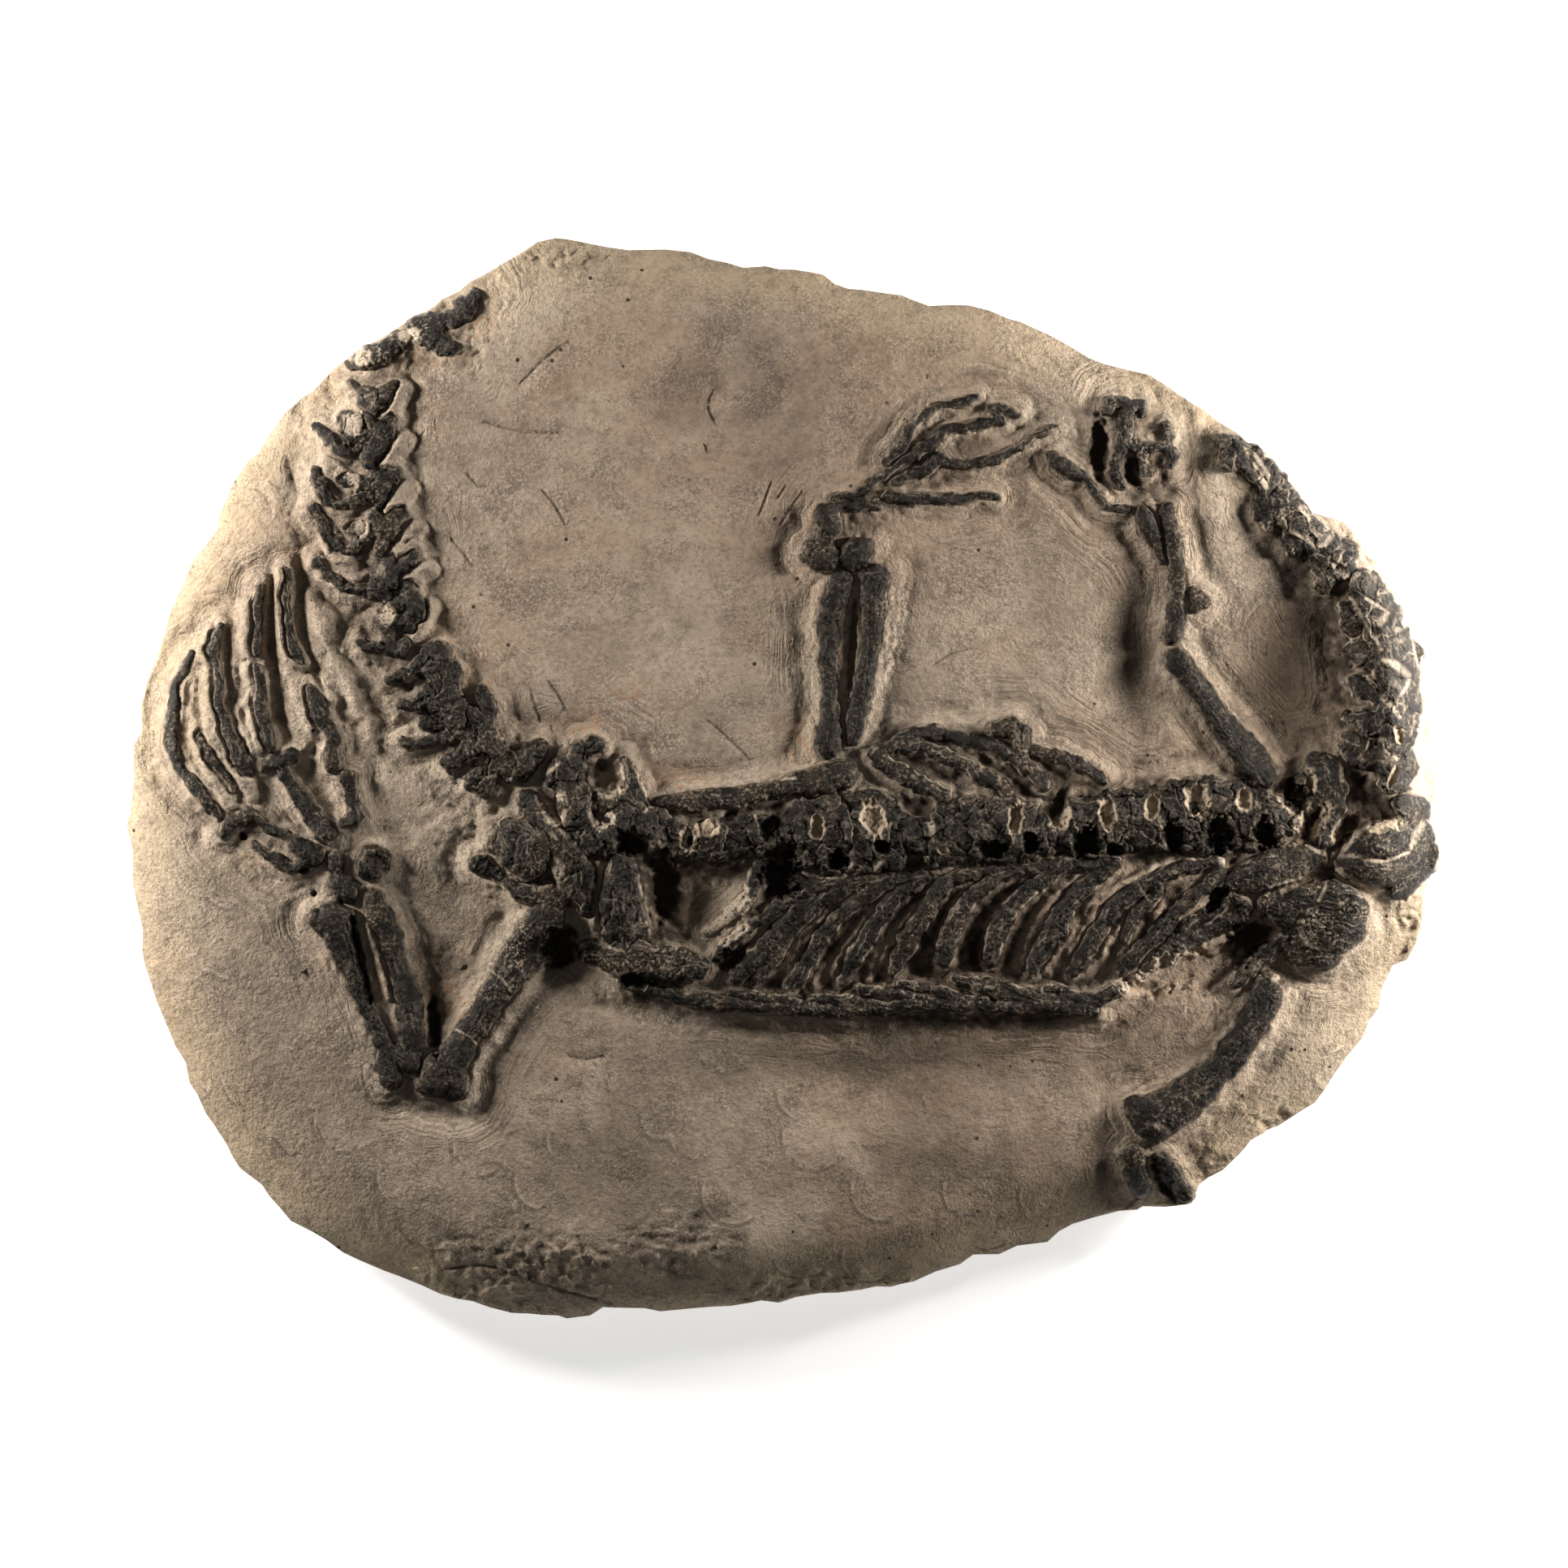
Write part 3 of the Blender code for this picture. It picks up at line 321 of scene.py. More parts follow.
RIBS = {
    "upper_ribs": [
        [(1076, 931, 8), (1092, 942, 9), (1115, 956, 10), (1140, 969, 10), (1162, 981, 9)],
        [(1076, 931, 8), (1105, 914, 7), (1130, 904, 7), (1150, 902, 7), (1180, 909, 7), (1205, 915, 7),
         (1230, 922, 8), (1250, 933, 9), (1268, 949, 9), (1284, 965, 8)],
        [(1100, 922, 8), (1130, 918, 8), (1155, 927, 7), (1180, 937, 7), (1202, 950, 8), (1225, 963, 8),
         (1240, 972, 6)],
        [(1228, 898, 10), (1248, 897, 13), (1258, 912, 12), (1258, 930, 9)],
        [(1262, 922, 6), (1284, 927, 6), (1300, 930, 7), (1320, 938, 7), (1340, 950, 7), (1358, 963, 5)],
    ],
    "lower_ribs_rear": [
        [(938, 1066, 8), (930, 1082, 8), (925, 1100, 8), (915, 1115, 8), (900, 1126, 7), (885, 1136, 7),
         (873, 1146, 5)],
        [(1000, 1092, 8), (976, 1108, 8), (956, 1121, 8), (932, 1137, 7), (910, 1152, 7),
         (892, 1168, 6), (881, 1182, 5)],
        [(1000, 1092, 8), (985, 1118, 8), (966, 1140, 9), (946, 1164, 10), (926, 1186, 10),
         (909, 1204, 8)],
        [(938, 1066, 8), (962, 1080, 9), (985, 1088, 9), (1000, 1092, 9)],
        [(1000, 1092, 9), (1030, 1088, 9), (1060, 1084, 9), (1100, 1082, 9), (1140, 1080, 8)],
        [(1060, 1084, 8), (1030, 1100, 9), (1005, 1115, 8), (987, 1132, 8), (972, 1152, 8),
         (957, 1172, 8), (942, 1192, 8), (930, 1206, 6)],
        [(1100, 1082, 9), (1070, 1100, 9), (1045, 1118, 9), (1025, 1138, 9), (1010, 1160, 9),
         (998, 1180, 9), (985, 1200, 9), (976, 1214, 6)],
        [(1140, 1080, 8), (1112, 1098, 8), (1095, 1115, 9), (1080, 1135, 9), (1068, 1155, 9),
         (1055, 1175, 9), (1045, 1193, 8), (1038, 1206, 6)],
    ],
    "lower_ribs_middle": [
        [(1158, 1088, 6), (1180, 1080, 7), (1215, 1072, 7), (1260, 1067, 7), (1310, 1064, 8),
         (1345, 1066, 8), (1370, 1062, 8)],
        [(1166, 1089, 8), (1150, 1105, 9), (1140, 1125, 10), (1125, 1145, 11), (1115, 1165, 11),
         (1106, 1183, 10), (1101, 1196, 7)],
        [(1250, 1069, 7), (1215, 1090, 8), (1192, 1110, 9), (1180, 1130, 10), (1170, 1150, 11),
         (1165, 1170, 11), (1161, 1184, 8)],
        [(1310, 1065, 8), (1280, 1085, 8), (1256, 1105, 9), (1240, 1125, 10), (1228, 1145, 10),
         (1222, 1165, 10), (1218, 1182, 8)],
        [(1364, 1070, 8), (1332, 1095, 9), (1312, 1118, 11), (1299, 1143, 13), (1286, 1165, 12),
         (1275, 1185, 9), (1269, 1197, 6)],
    ],
    "lower_ribs_front": [
        [(1500, 1060, 7), (1450, 1071, 8), (1420, 1083, 8), (1397, 1098, 9), (1378, 1113, 10),
         (1362, 1132, 10), (1348, 1155, 10), (1335, 1177, 10), (1322, 1196, 8)],
        [(1500, 1060, 7), (1500, 1080, 7), (1475, 1098, 8), (1455, 1118, 9), (1435, 1140, 10),
         (1415, 1160, 10), (1395, 1178, 9), (1383, 1194, 8)],
        [(1420, 1083, 8), (1425, 1100, 7), (1402, 1120, 8), (1392, 1140, 8), (1384, 1158, 6)],
        [(1500, 1080, 7), (1515, 1102, 8), (1490, 1125, 8), (1462, 1143, 8), (1442, 1163, 8),
         (1425, 1180, 7), (1408, 1196, 6)],
        [(1515, 1102, 8), (1535, 1120, 8), (1510, 1138, 9), (1480, 1152, 9), (1458, 1166, 8),
         (1440, 1180, 6)],
    ],
    "belly_ribs": [
        [(806, 1220, 5), (830, 1228, 6), (870, 1234, 7), (910, 1238, 7), (950, 1242, 7),
         (1000, 1244, 7), (1040, 1246, 7), (1080, 1242, 7), (1110, 1238, 7), (1150, 1238, 7),
         (1190, 1240, 7), (1240, 1241, 7), (1275, 1238, 7), (1320, 1240, 8), (1348, 1244, 8)],
        [(900, 1224, 5), (935, 1228, 6), (975, 1236, 6), (1010, 1242, 6)],
        [(1000, 1230, 5), (1040, 1233, 6), (1080, 1238, 6)],
        [(1056, 1218, 5), (1100, 1224, 6), (1140, 1232, 6), (1190, 1238, 6)],
        [(1110, 1214, 5), (1140, 1218, 6), (1175, 1226, 6), (1215, 1236, 6)],
        [(1178, 1206, 5), (1205, 1213, 6), (1235, 1224, 6), (1265, 1236, 6)],
        [(1216, 1210, 5), (1245, 1219, 6), (1275, 1228, 6), (1310, 1236, 7)],
        [(1290, 1218, 6), (1320, 1226, 7), (1345, 1234, 8), (1366, 1222, 7), (1384, 1216, 6)],
    ],
}

SHOULDER = {
    "shoulder_long_plate": [
        [(1520, 1085, 9), (1545, 1078, 18), (1572, 1070, 22), (1602, 1058, 16), (1624, 1056, 8)],
    ],
    "shoulder_round_plate": [
        [(1560, 1112, 10), (1590, 1125, 20), (1625, 1130, 42), (1640, 1132, 42)],
        [(1590, 1150, 12), (1600, 1168, 16), (1630, 1168, 22)],
        [(1592, 1148, 8), (1574, 1166, 8), (1550, 1182, 8), (1536, 1195, 8), (1522, 1208, 6)],
    ],
    "shoulder_ring_plate": [
        [(1668, 1045, 12), (1692, 1040, 16), (1714, 1034, 18), (1728, 1030, 14)],
        [(1660, 1066, 12), (1690, 1074, 12), (1718, 1074, 14), (1742, 1058, 12), (1752, 1036, 10),
         (1745, 1012, 10), (1742, 996, 14)],
        [(1668, 1045, 12), (1660, 1066, 12)],
        [(1714, 1050, 8), (1716, 1066, 8)],
    ],
    "shoulder_blade": [
        [(1624, 950, 14), (1634, 970, 15), (1640, 990, 14), (1630, 1015, 9), (1628, 1034, 9)],
        [(1600, 965, 9), (1602, 990, 8), (1625, 990, 8)],
    ],
}

LOWER_ARM = {
    "lower_humerus": [
        [(1561, 1214, 17), (1556, 1235, 19), (1545, 1258, 19), (1530, 1282, 18), (1513, 1305, 17),
         (1493, 1326, 19), (1470, 1345, 23), (1448, 1362, 26), (1428, 1374, 26)],
        [(1400, 1364, 15), (1410, 1372, 20), (1424, 1388, 18)],
    ],
    "lower_ulna": [[(1396, 1424, 14), (1398, 1440, 14), (1405, 1457, 12), (1408, 1467, 9)]],
    "lower_radius": [[(1430, 1427, 9), (1439, 1442, 11), (1452, 1460, 11), (1462, 1473, 9)]],
}

UPPER_ARM = {
    "upper_humerus": [
        [(1449, 814, 15), (1465, 834, 14), (1484, 860, 14), (1502, 885, 15), (1520, 908, 17),
         (1538, 932, 20), (1554, 952, 20)],
    ],
    "upper_radius": [
        [(1436, 628, 8), (1440, 648, 9), (1446, 672, 10), (1450, 700, 9), (1449, 740, 9),
         (1448, 765, 11), (1444, 783, 12)],
    ],
    "upper_ulna": [
        [(1408, 633, 10), (1414, 648, 12), (1422, 668, 8), (1431, 690, 4)],
    ],
    "forelimb_fragment": [
        [(1472, 734, 9), (1480, 741, 9), (1472, 752, 6)],
    ],
    "wrist_bones": [
        [(1366, 506, 6), (1369, 496, 6), (1382, 494, 7), (1393, 502, 8), (1404, 498, 6), (1407, 509, 5)],
        [(1390, 505, 8), (1385, 520, 11), (1387, 538, 10), (1380, 553, 9), (1374, 566, 5),
         (1374, 586, 5), (1381, 600, 5)],
        [(1385, 548, 9), (1405, 552, 7), (1420, 552, 7), (1434, 549, 7), (1446, 563, 5), (1443, 575, 4)],
        [(1436, 550, 6), (1441, 538, 5), (1437, 524, 5)],
        [(1406, 556, 6), (1408, 570, 7), (1413, 582, 8)],
    ],
    "finger_bones": [
        [(1299, 566, 8), (1320, 582, 9), (1334, 586, 6), (1345, 600, 5), (1356, 617, 5), (1370, 627, 4),
         (1388, 628, 4)],
    ],
}

NECK = {
    "neck_front": [
        [(1512, 548, 14), (1530, 560, 16), (1550, 576, 18), (1566, 596, 19), (1580, 618, 22),
         (1597, 640, 22), (1614, 660, 22), (1634, 680, 22)],
        [(1510, 566, 12), (1528, 566, 12)],
        [(1562, 610, 12), (1566, 634, 14)],
        [(1600, 668, 14), (1598, 672, 14)],
        [(1632, 692, 14), (1630, 712, 14), (1634, 718, 12)],
        [(1655, 668, 10), (1660, 690, 14), (1650, 700, 14)],
    ],
    "neck_rear": [
        [(1680, 722, 22), (1694, 748, 26), (1706, 776, 28), (1716, 806, 28), (1722, 840, 28),
         (1724, 874, 28), (1720, 906, 24), (1716, 938, 24), (1712, 962, 16)],
        [(1664, 745, 8), (1666, 766, 12)],
        [(1735, 790, 8), (1748, 802, 7)],
        [(1698, 806, 14), (1672, 808, 13)],
        [(1700, 850, 14), (1676, 848, 13)],
        [(1700, 892, 14), (1670, 888, 12)],
        [(1700, 935, 16), (1672, 932, 12), (1656, 920, 9)],
        [(1734, 862, 18), (1732, 886, 16)],
        [(1730, 940, 13), (1730, 958, 12)],
    ],
}

# Finer rises and hollows on top of those, given the same way.
FINER_RELIEF = (
    (1392, 800, 36, 120, -4.2), (1560, 830, 62, 140, -3.4), (940, 780, 50, 140, -1.6),
    (1130, 1305, 270, 34, -2.4), (1150, 1150, 270, 70, 0.6), (1600, 1240, 90, 60, -1.5),
    (500, 1000, 70, 60, -1.0), (320, 880, 100, 120, -1.0), (1660, 1300, 60, 50, 2.0),
    (905, 1125, 34, 42, 2.6), (1400, 820, 40, 100, -1.0),
)

# Smooth plates and blades too fine for the solids, added to a bone's own strokes.
FINER_STROKES = {
    "neck_front": [
        [(1556, 626, 10), (1566, 640, 12), (1562, 648, 7)],
        [(1590, 666, 9), (1600, 674, 12), (1604, 684, 7)],
        [(1624, 702, 8), (1631, 712, 13), (1626, 722, 7)],
    ],
    "neck_rear": [
        [(1655, 748, 6), (1662, 766, 11), (1668, 784, 7)],
        [(1662, 798, 8), (1680, 806, 14), (1690, 818, 9)],
        [(1668, 840, 9), (1682, 850, 14), (1694, 862, 8)],
        [(1664, 884, 10), (1684, 890, 13)],
        [(1662, 912, 11), (1680, 922, 14), (1664, 936, 10)],
        [(1748, 792, 3), (1752, 806, 6), (1748, 816, 3)],
        [(1738, 856, 10), (1742, 872, 9)],
        [(1734, 932, 10), (1736, 950, 11), (1728, 966, 9)],
    ],
    "lower_metatarsal_1": [
        [(276, 1026, 9), (290, 1012, 12), (306, 1006, 12)],
        [(366, 1040, 12), (388, 1053, 15)],
    ],
    "lower_metatarsal_2": [
        [(328, 944, 9), (346, 938, 11), (362, 932, 9)],
        [(366, 976, 10), (386, 1006, 12), (402, 1028, 14)],
    ],
    "lower_metatarsal_3": [
        [(429, 958, 13), (434, 984, 10), (440, 1008, 13)],
    ],
    "tail_tip_vertebrae": [
        [(508, 402, 9), (522, 412, 11)],
        [(560, 392, 10), (578, 374, 8), (584, 362, 6)],
    ],
    "lower_tibia": [
        [(476, 1300, 12), (482, 1328, 15)],
        [(392, 1132, 12), (402, 1146, 12)],
    ],
    "lower_fibula": [
        [(494, 1300, 14), (508, 1308, 16)],
    ],
    "lower_femur": [
        [(548, 1318, 26), (560, 1336, 20)],
    ],
    "shoulder_blade": [
        [(1622, 938, 10), (1634, 950, 15), (1640, 968, 16), (1636, 984, 12)],
    ],
    "shoulder_ring_plate": [
        [(1700, 1036, 15), (1716, 1030, 16), (1728, 1016, 9)],
        [(1730, 994, 13), (1746, 1000, 13)],
        [(1755, 1026, 8), (1762, 1044, 8), (1756, 1066, 9), (1740, 1086, 9), (1722, 1098, 9)],
    ],
}

# Where dark stone sticks to the bones, partly painted shade between them: how dark, from 0 to 1, and a stroke.
DARK_MASSES = (
    (1.0, [(705, 960, 44), (760, 1015, 56), (850, 1030, 58), (1000, 1042, 74), (1200, 1032, 74),
           (1400, 1015, 68), (1560, 1010, 76)]),
    (0.72, [(950, 1140, 70), (1100, 1155, 92), (1250, 1145, 88), (1350, 1130, 66), (1430, 1110, 46)]),
    (0.9, [(910, 1222, 24), (1100, 1236, 30), (1280, 1238, 30), (1330, 1222, 22)]),
    (0.9, [(1110, 925, 42), (1200, 932, 44), (1290, 955, 34)]),
    (0.85, [(640, 1040, 50), (720, 1085, 50), (790, 1060, 60), (800, 1190, 58)]),
    (0.95, [(1560, 1040, 64), (1640, 1030, 74), (1690, 1000, 66), (1700, 1050, 44)]),
    (0.75, [(1545, 570, 30), (1600, 645, 42), (1650, 740, 52), (1682, 860, 54), (1682, 960, 50)]),
    (0.45, [(560, 392, 34), (478, 470, 34), (440, 600, 38), (452, 720, 40), (500, 830, 48),
    (600, 930, 52)]),
    (0.4, [(250, 1000, 26), (330, 1020, 30), (420, 1040, 40)]),
    (0.45, [(1030, 660, 44), (1110, 600, 34), (1200, 560, 34)]),
    (0.5, [(1400, 520, 40), (1420, 600, 44)]),
)

# Grey stains on the open stone, and painted shade in the hollows beside the forelimb and neck, below the belly
# and hips and towards the lower right: x, y, the two half-widths in pixels and the strength.
SMOKE_AND_PAINTED_SHADE = (
    (900, 480, 130, 90, 0.65), (1150, 1330, 260, 50, 0.65), (820, 560, 90, 70, 0.3),
    (1466, 560, 24, 40, 0.85), (1100, 1430, 320, 100, 0.5), (1360, 1450, 90, 80, 0.7),
    (1150, 1425, 170, 90, 0.85), (760, 1430, 150, 80, 0.6), (690, 460, 60, 50, 0.2),
    (830, 1520, 110, 50, 0.4), (640, 1530, 90, 40, 0.3),
    (380, 620, 60, 50, 0.25), (1010, 640, 50, 40, 0.3), (1240, 700, 70, 60, 0.2),
    (1080, 1500, 120, 70, 0.3), (560, 1330, 80, 60, 0.2), (900, 1400, 200, 70, 0.4),
    (950, 560, 90, 70, 0.6),
    (1320, 1330, 90, 50, 0.3), (1030, 1310, 150, 26, 0.8), (1394, 820, 46, 120, 1.0),
    (1570, 840, 70, 120, 0.9),
    (1610, 760, 40, 90, 0.8), (960, 430, 320, 90, 0.2), (760, 330, 300, 50, 0.15),
    (700, 1520, 400, 50, 0.2), (870, 1490, 40, 24, 0.7), (1200, 1420, 160, 90, 0.65),
    (930, 830, 60, 110, 0.2),
    (535, 1245, 22, 70, 0.8), (560, 1195, 40, 26, 0.6), (690, 1160, 40, 22, 0.9), (460, 1200, 8, 60, 0.5),
)

# Freshly worked, paler stone, which in places is painted light where the lamps fall brightest, given the same
# way.
FRESH_AND_PAINTED_LIGHT = (
    (650, 1590, 120, 30, 0.8), (1010, 1600, 160, 16, 0.6), (420, 1520, 90, 30, 0.4),
    (330, 900, 130, 180, 0.35), (430, 640, 60, 160, 0.4), (1610, 1290, 90, 110, 1.0),
    (430, 1180, 60, 150, 0.25), (800, 720, 130, 110, 0.3), (1250, 720, 90, 90, 0.4),
    (1690, 680, 50, 60, 0.9), (1765, 900, 20, 120, 0.9),
    (560, 940, 60, 50, 0.3), (1340, 480, 60, 40, 0.4),
)

# Places where the stone beside the bones is as dull as the rest, given the same way.
DULL = (
    (470, 1200, 140, 150, 1.0), (620, 1290, 90, 90, 0.9), (800, 600, 110, 110, 0.6),
    (1040, 720, 110, 150, 0.9),
    (1150, 1140, 320, 130, 0.4), (800, 1130, 120, 90, 0.4), (1500, 1450, 60, 50, 0.7),
)

# Where the tool left arcs in the stone, given the same way.
TOOLED = (
    (1180, 700, 60, 60, 0.9), (1560, 820, 60, 90, 0.8), (1640, 1300, 90, 120, 1.0),
    (300, 1150, 90, 160, 1.0),
    (620, 700, 60, 60, 0.7), (1450, 1150, 60, 40, 0.8), (230, 620, 60, 80, 0.5),
)

# Tanned stone, which on the lit rims also stands in for painted light, given the same way.
TANNED_AND_PAINTED_LIGHT = (
    (650, 1585, 130, 32, 1.0), (420, 1520, 90, 36, 1.0), (1000, 1600, 220, 20, 1.0),
    (280, 1380, 40, 90, 0.7),
    (1665, 1310, 80, 130, 1.0), (1745, 1120, 26, 120, 0.9), (1560, 1420, 60, 40, 0.9),
    (230, 860, 50, 160, 0.7),
    (330, 470, 50, 60, 0.8), (200, 1100, 40, 120, 0.8), (1330, 330, 120, 40, 0.6),
    (1000, 300, 300, 20, 0.6),
)

# Rust-coloured grains on the stone, given the same way.
RUSTY = (
    (720, 896, 36, 22, 0.8), (827, 960, 46, 14, 1.0), (980, 912, 30, 36, 0.8), (1030, 632, 20, 14, 1.0),
    (590, 850, 36, 60, 0.6), (315, 1045, 28, 26, 0.7), (555, 790, 16, 60, 0.5), (400, 470, 20, 40, 0.4),
    (545, 1220, 34, 50, 0.7), (520, 440, 50, 16, 0.7), (540, 520, 30, 30, 0.4), (470, 1225, 12, 60, 0.6),
    (400, 1180, 20, 50, 0.3), (590, 400, 30, 20, 0.7), (1240, 800, 40, 20, 0.5), (770, 850, 60, 20, 0.5),
)

# Bones whose dark skin is worn off, given the same way.
WORN = (
    (1625, 1125, 75, 55, 0.9), (1560, 1090, 60, 30, 0.5), (640, 1175, 24, 44, 1.0),
    (610, 1230, 26, 30, 0.5),
    (645, 1050, 36, 40, 0.3), (1700, 1040, 60, 40, 0.3), (800, 1180, 70, 30, 0.5), (590, 900, 60, 60, 0.3),
    (1640, 700, 60, 90, 0.1), (1400, 560, 50, 60, 0.5), (900, 975, 90, 20, 0.5), (1150, 950, 100, 40, 0.3),
    (1100, 1225, 180, 20, 0.6), (1460, 1370, 50, 40, 0.3), (250, 900, 40, 120, 0.4),
    (470, 420, 40, 30, 0.8), (512, 400, 22, 20, 0.9), (436, 500, 30, 50, 0.5), (440, 640, 36, 80, 0.4),
)

# Broken, rough stone, given the same way.
ROUGH = (
    (538, 1235, 26, 70, 0.9), (575, 1190, 40, 26, 0.7), (590, 425, 30, 20, 0.8), (525, 445, 40, 12, 0.6),
    (640, 1560, 110, 45, 1.0), (830, 1530, 80, 40, 0.7), (1010, 1588, 110, 22, 0.9),
    (1742, 1130, 22, 60, 1.0),
    (695, 318, 70, 18, 0.8), (500, 1180, 40, 60, 0.5), (560, 1000, 50, 70, 0.5), (440, 900, 50, 60, 0.4),
    (1490, 1440, 30, 30, 0.8), (735, 930, 60, 26, 0.5), (1575, 1380, 30, 16, 0.8),
)

# Scratches: strokes of (x, y, half-width) in pixels.
SCRATCHES = (
    [(950, 594, 2.5), (942, 616, 3), (934, 636, 2)],
    [(967, 600, 2), (958, 614, 2.5)],
    [(988, 606, 2), (972, 628, 3), (960, 648, 2)],
    [(868, 548, 2), (872, 560, 2)],
    [(700, 420, 2), (668, 446, 3), (640, 474, 2)],
    [(575, 584, 2), (590, 600, 3), (602, 600, 2)],
    [(668, 604, 2), (684, 624, 3), (696, 646, 2)],
    [(556, 664, 2), (568, 678, 3), (580, 694, 2)],
    [(676, 840, 2), (690, 860, 3), (700, 880, 2)],
    [(654, 850, 2), (660, 872, 3), (666, 890, 2)],
    [(310, 600, 2), (326, 612, 3), (334, 630, 2)],
    [(330, 592, 2), (346, 604, 3)],
    [(352, 560, 2), (360, 590, 4), (366, 612, 3), (356, 636, 2)],
    [(595, 520, 2), (640, 532, 2.5), (690, 534, 2)],
    [(545, 1565, 2), (600, 1560, 3), (660, 1580, 3), (735, 1602, 2)],
    [(1728, 1090, 2), (1722, 1130, 3), (1734, 1160, 3), (1722, 1184, 2)],
    [(1380, 1352, 2), (1400, 1340, 3), (1424, 1326, 2)],
    [(1000, 880, 2), (1010, 905, 2.5), (1018, 926, 2)],
    [(870, 885, 2), (900, 912, 2.5), (924, 936, 2)],
    [(1150, 820, 2), (1172, 806, 2.5), (1196, 800, 2)],
    [(880, 480, 2), (872, 500, 3), (880, 520, 2)],
    [(700, 1300, 2), (720, 1305, 2.5), (745, 1300, 2)],
)

# Hollows sunk into bones and stone alike: x, y, two half-widths in pixels, turn in degrees, depth in mm, and
# the colour of what lies in them: "dark" is painted shade, and the pale ring round each hollow is painted light.
HOLLOWS = (
    (436, 519, 13, 17, 0, 0.15, "pale"), (437, 589, 8, 12, 0, 0.15, "pale"),
    (446, 438, 12, 11, 0, 0.15, "pale"),
    (503, 412, 14, 9, 0, 0.15, "pale"), (446, 651, 9, 12, 0, 0.15, "pale"),
    (477, 760, 10, 12, 0, 0.15, "pale"),
    (848, 1034, 10, 15, 10, 1.2, "pale"), (851, 1037, 4, 8, 10, 1.6, "dark"),
    (870, 1020, 16, 11, 0, 1.4, "brown"), (950, 1020, 15, 15, 0, 2.2, "dark"),
    (1007, 1018, 8, 17, 4, 2.4, "brown"), (1032, 1060, 13, 15, 0, 3.2, "dark"),
    (962, 1076, 27, 34, 8, 3.2, "dark"), (1076, 1010, 15, 25, -14, 2.0, "brown"),
    (1085, 1045, 10, 10, 0, 2.6, "dark"), (1160, 1046, 7, 6, 0, 1.0, "pale"),
    (1251, 1010, 9, 23, 8, 2.6, "brown"), (1222, 1047, 20, 12, 0, 3.2, "dark"),
    (1270, 1038, 14, 12, 0, 3.2, "dark"), (1337, 1037, 20, 18, 0, 3.4, "dark"),
    (1305, 1001, 12, 25, 4, 2.4, "brown"), (1363, 1001, 11, 20, 0, 2.0, "brown"),
    (1372, 1046, 10, 9, 0, 2.6, "dark"), (1418, 995, 9, 18, 0, 1.6, "brown"),
    (1474, 985, 16, 22, -8, 2.0, "brown"), (1470, 996, 7, 8, 0, 2.0, "dark"),
    (1532, 987, 10, 14, 0, 2.2, "brown"), (1590, 980, 10, 20, 0, 3.6, "dark"),
    (1446, 1032, 15, 20, 0, 3.4, "dark"), (1500, 1028, 20, 23, 0, 3.8, "dark"),
    (1555, 1028, 14, 20, 0, 3.4, "dark"),
    (688, 995, 8, 20, 0, 1.8, "pale"), (692, 996, 4, 10, 0, 1.8, "dark"),
    (747, 1011, 13, 11, 0, 0.5, "pale"), (748, 1011, 5, 4, 0, 0.9, "dark"),
    (751, 955, 20, 22, 0, 1.5, "pale"), (743, 944, 8, 9, 0, 2.2, "brown"),
    (899, 1004, 10, 7, 0, 2.6, "dark"),
    (778, 1040, 20, 15, 20, 3.4, "dark"), (817, 1092, 20, 42, 0, 3.8, "dark"),
    (886, 1118, 40, 44, 0, 1.0, "pale"),
    (690, 1168, 23, 28, 20, 3.4, "dark"), (786, 1208, 22, 10, 0, 3.0, "dark"),
    (900, 1181, 20, 13, -30, 2.6, "dark"), (1530, 1163, 44, 22, -45, 3.4, "dark"),
    (1492, 1196, 36, 22, -40, 2.4, "brown"),
    (1497, 1108, 20, 9, -50, 2.6, "dark"), (1433, 1452, 9, 26, -28, 2.6, "dark"),
    (1450, 1197, 70, 24, -18, 2.6, "pale"), (1203, 1170, 8, 22, 12, 2.4, "dark"),
    (1500, 1105, 7, 6, 0, 2.4, "dark"), (1395, 580, 11, 20, 0, 1.8, "dark"),
    (1424, 538, 9, 8, 0, 0.8, "pale"), (1214, 938, 11, 8, 0, 1.4, "brown"),
    (1706, 1012, 20, 12, -8, 1.8, "brown"), (1695, 1020, 9, 9, 0, 1.8, "brown"),
    (1690, 1015, 2.5, 2.5, 0, 1.2, "dark"), (1614, 962, 7, 16, 0, 1.6, "brown"),
    (1600, 985, 16, 17, 0, 3.4, "dark"), (1680, 914, 5, 11, 0, 1.2, "pale"),
    (1652, 936, 4, 12, -20, 1.0, "pale"), (1720, 906, 5, 12, -15, 1.6, "brown"),
    (1714, 958, 5, 16, 20, 1.8, "brown"), (1678, 962, 9, 6, -40, 1.6, "brown"),
    (1616, 1010, 17, 27, 32, 2.6, "brown"), (1618, 1008, 5, 20, 36, 3.0, "dark"),
    (1654, 1024, 12, 27, 34, 2.4, "brown"), (1660, 1026, 5, 22, 34, 3.0, "dark"),
    (1668, 784, 9, 5, -20, 1.6, "pale"),
    (505, 842, 9, 11, 25, 1.8, "brown"), (300, 1030, 5, 5, 0, 2.0, "dark"),
    (375, 1073, 7, 4, -10, 1.8, "dark"), (388, 1100, 4, 5, 0, 1.8, "dark"),
    (303, 813, 3, 3, 0, 1.4, "dark"), (535, 1262, 8, 38, -6, 2.4, "dark"),
    (446, 1185, 6, 60, -12, 2.2, "dark"), (1050, 800, 5, 62, 4, 2.4, "brown"),
    (1355, 555, 12, 42, 0, 2.2, "dark"), (468, 1061, 12, 15, -20, 0.9, "dark"),
    (1440, 1465, 6, 24, -28, 3.0, "dark"),
)

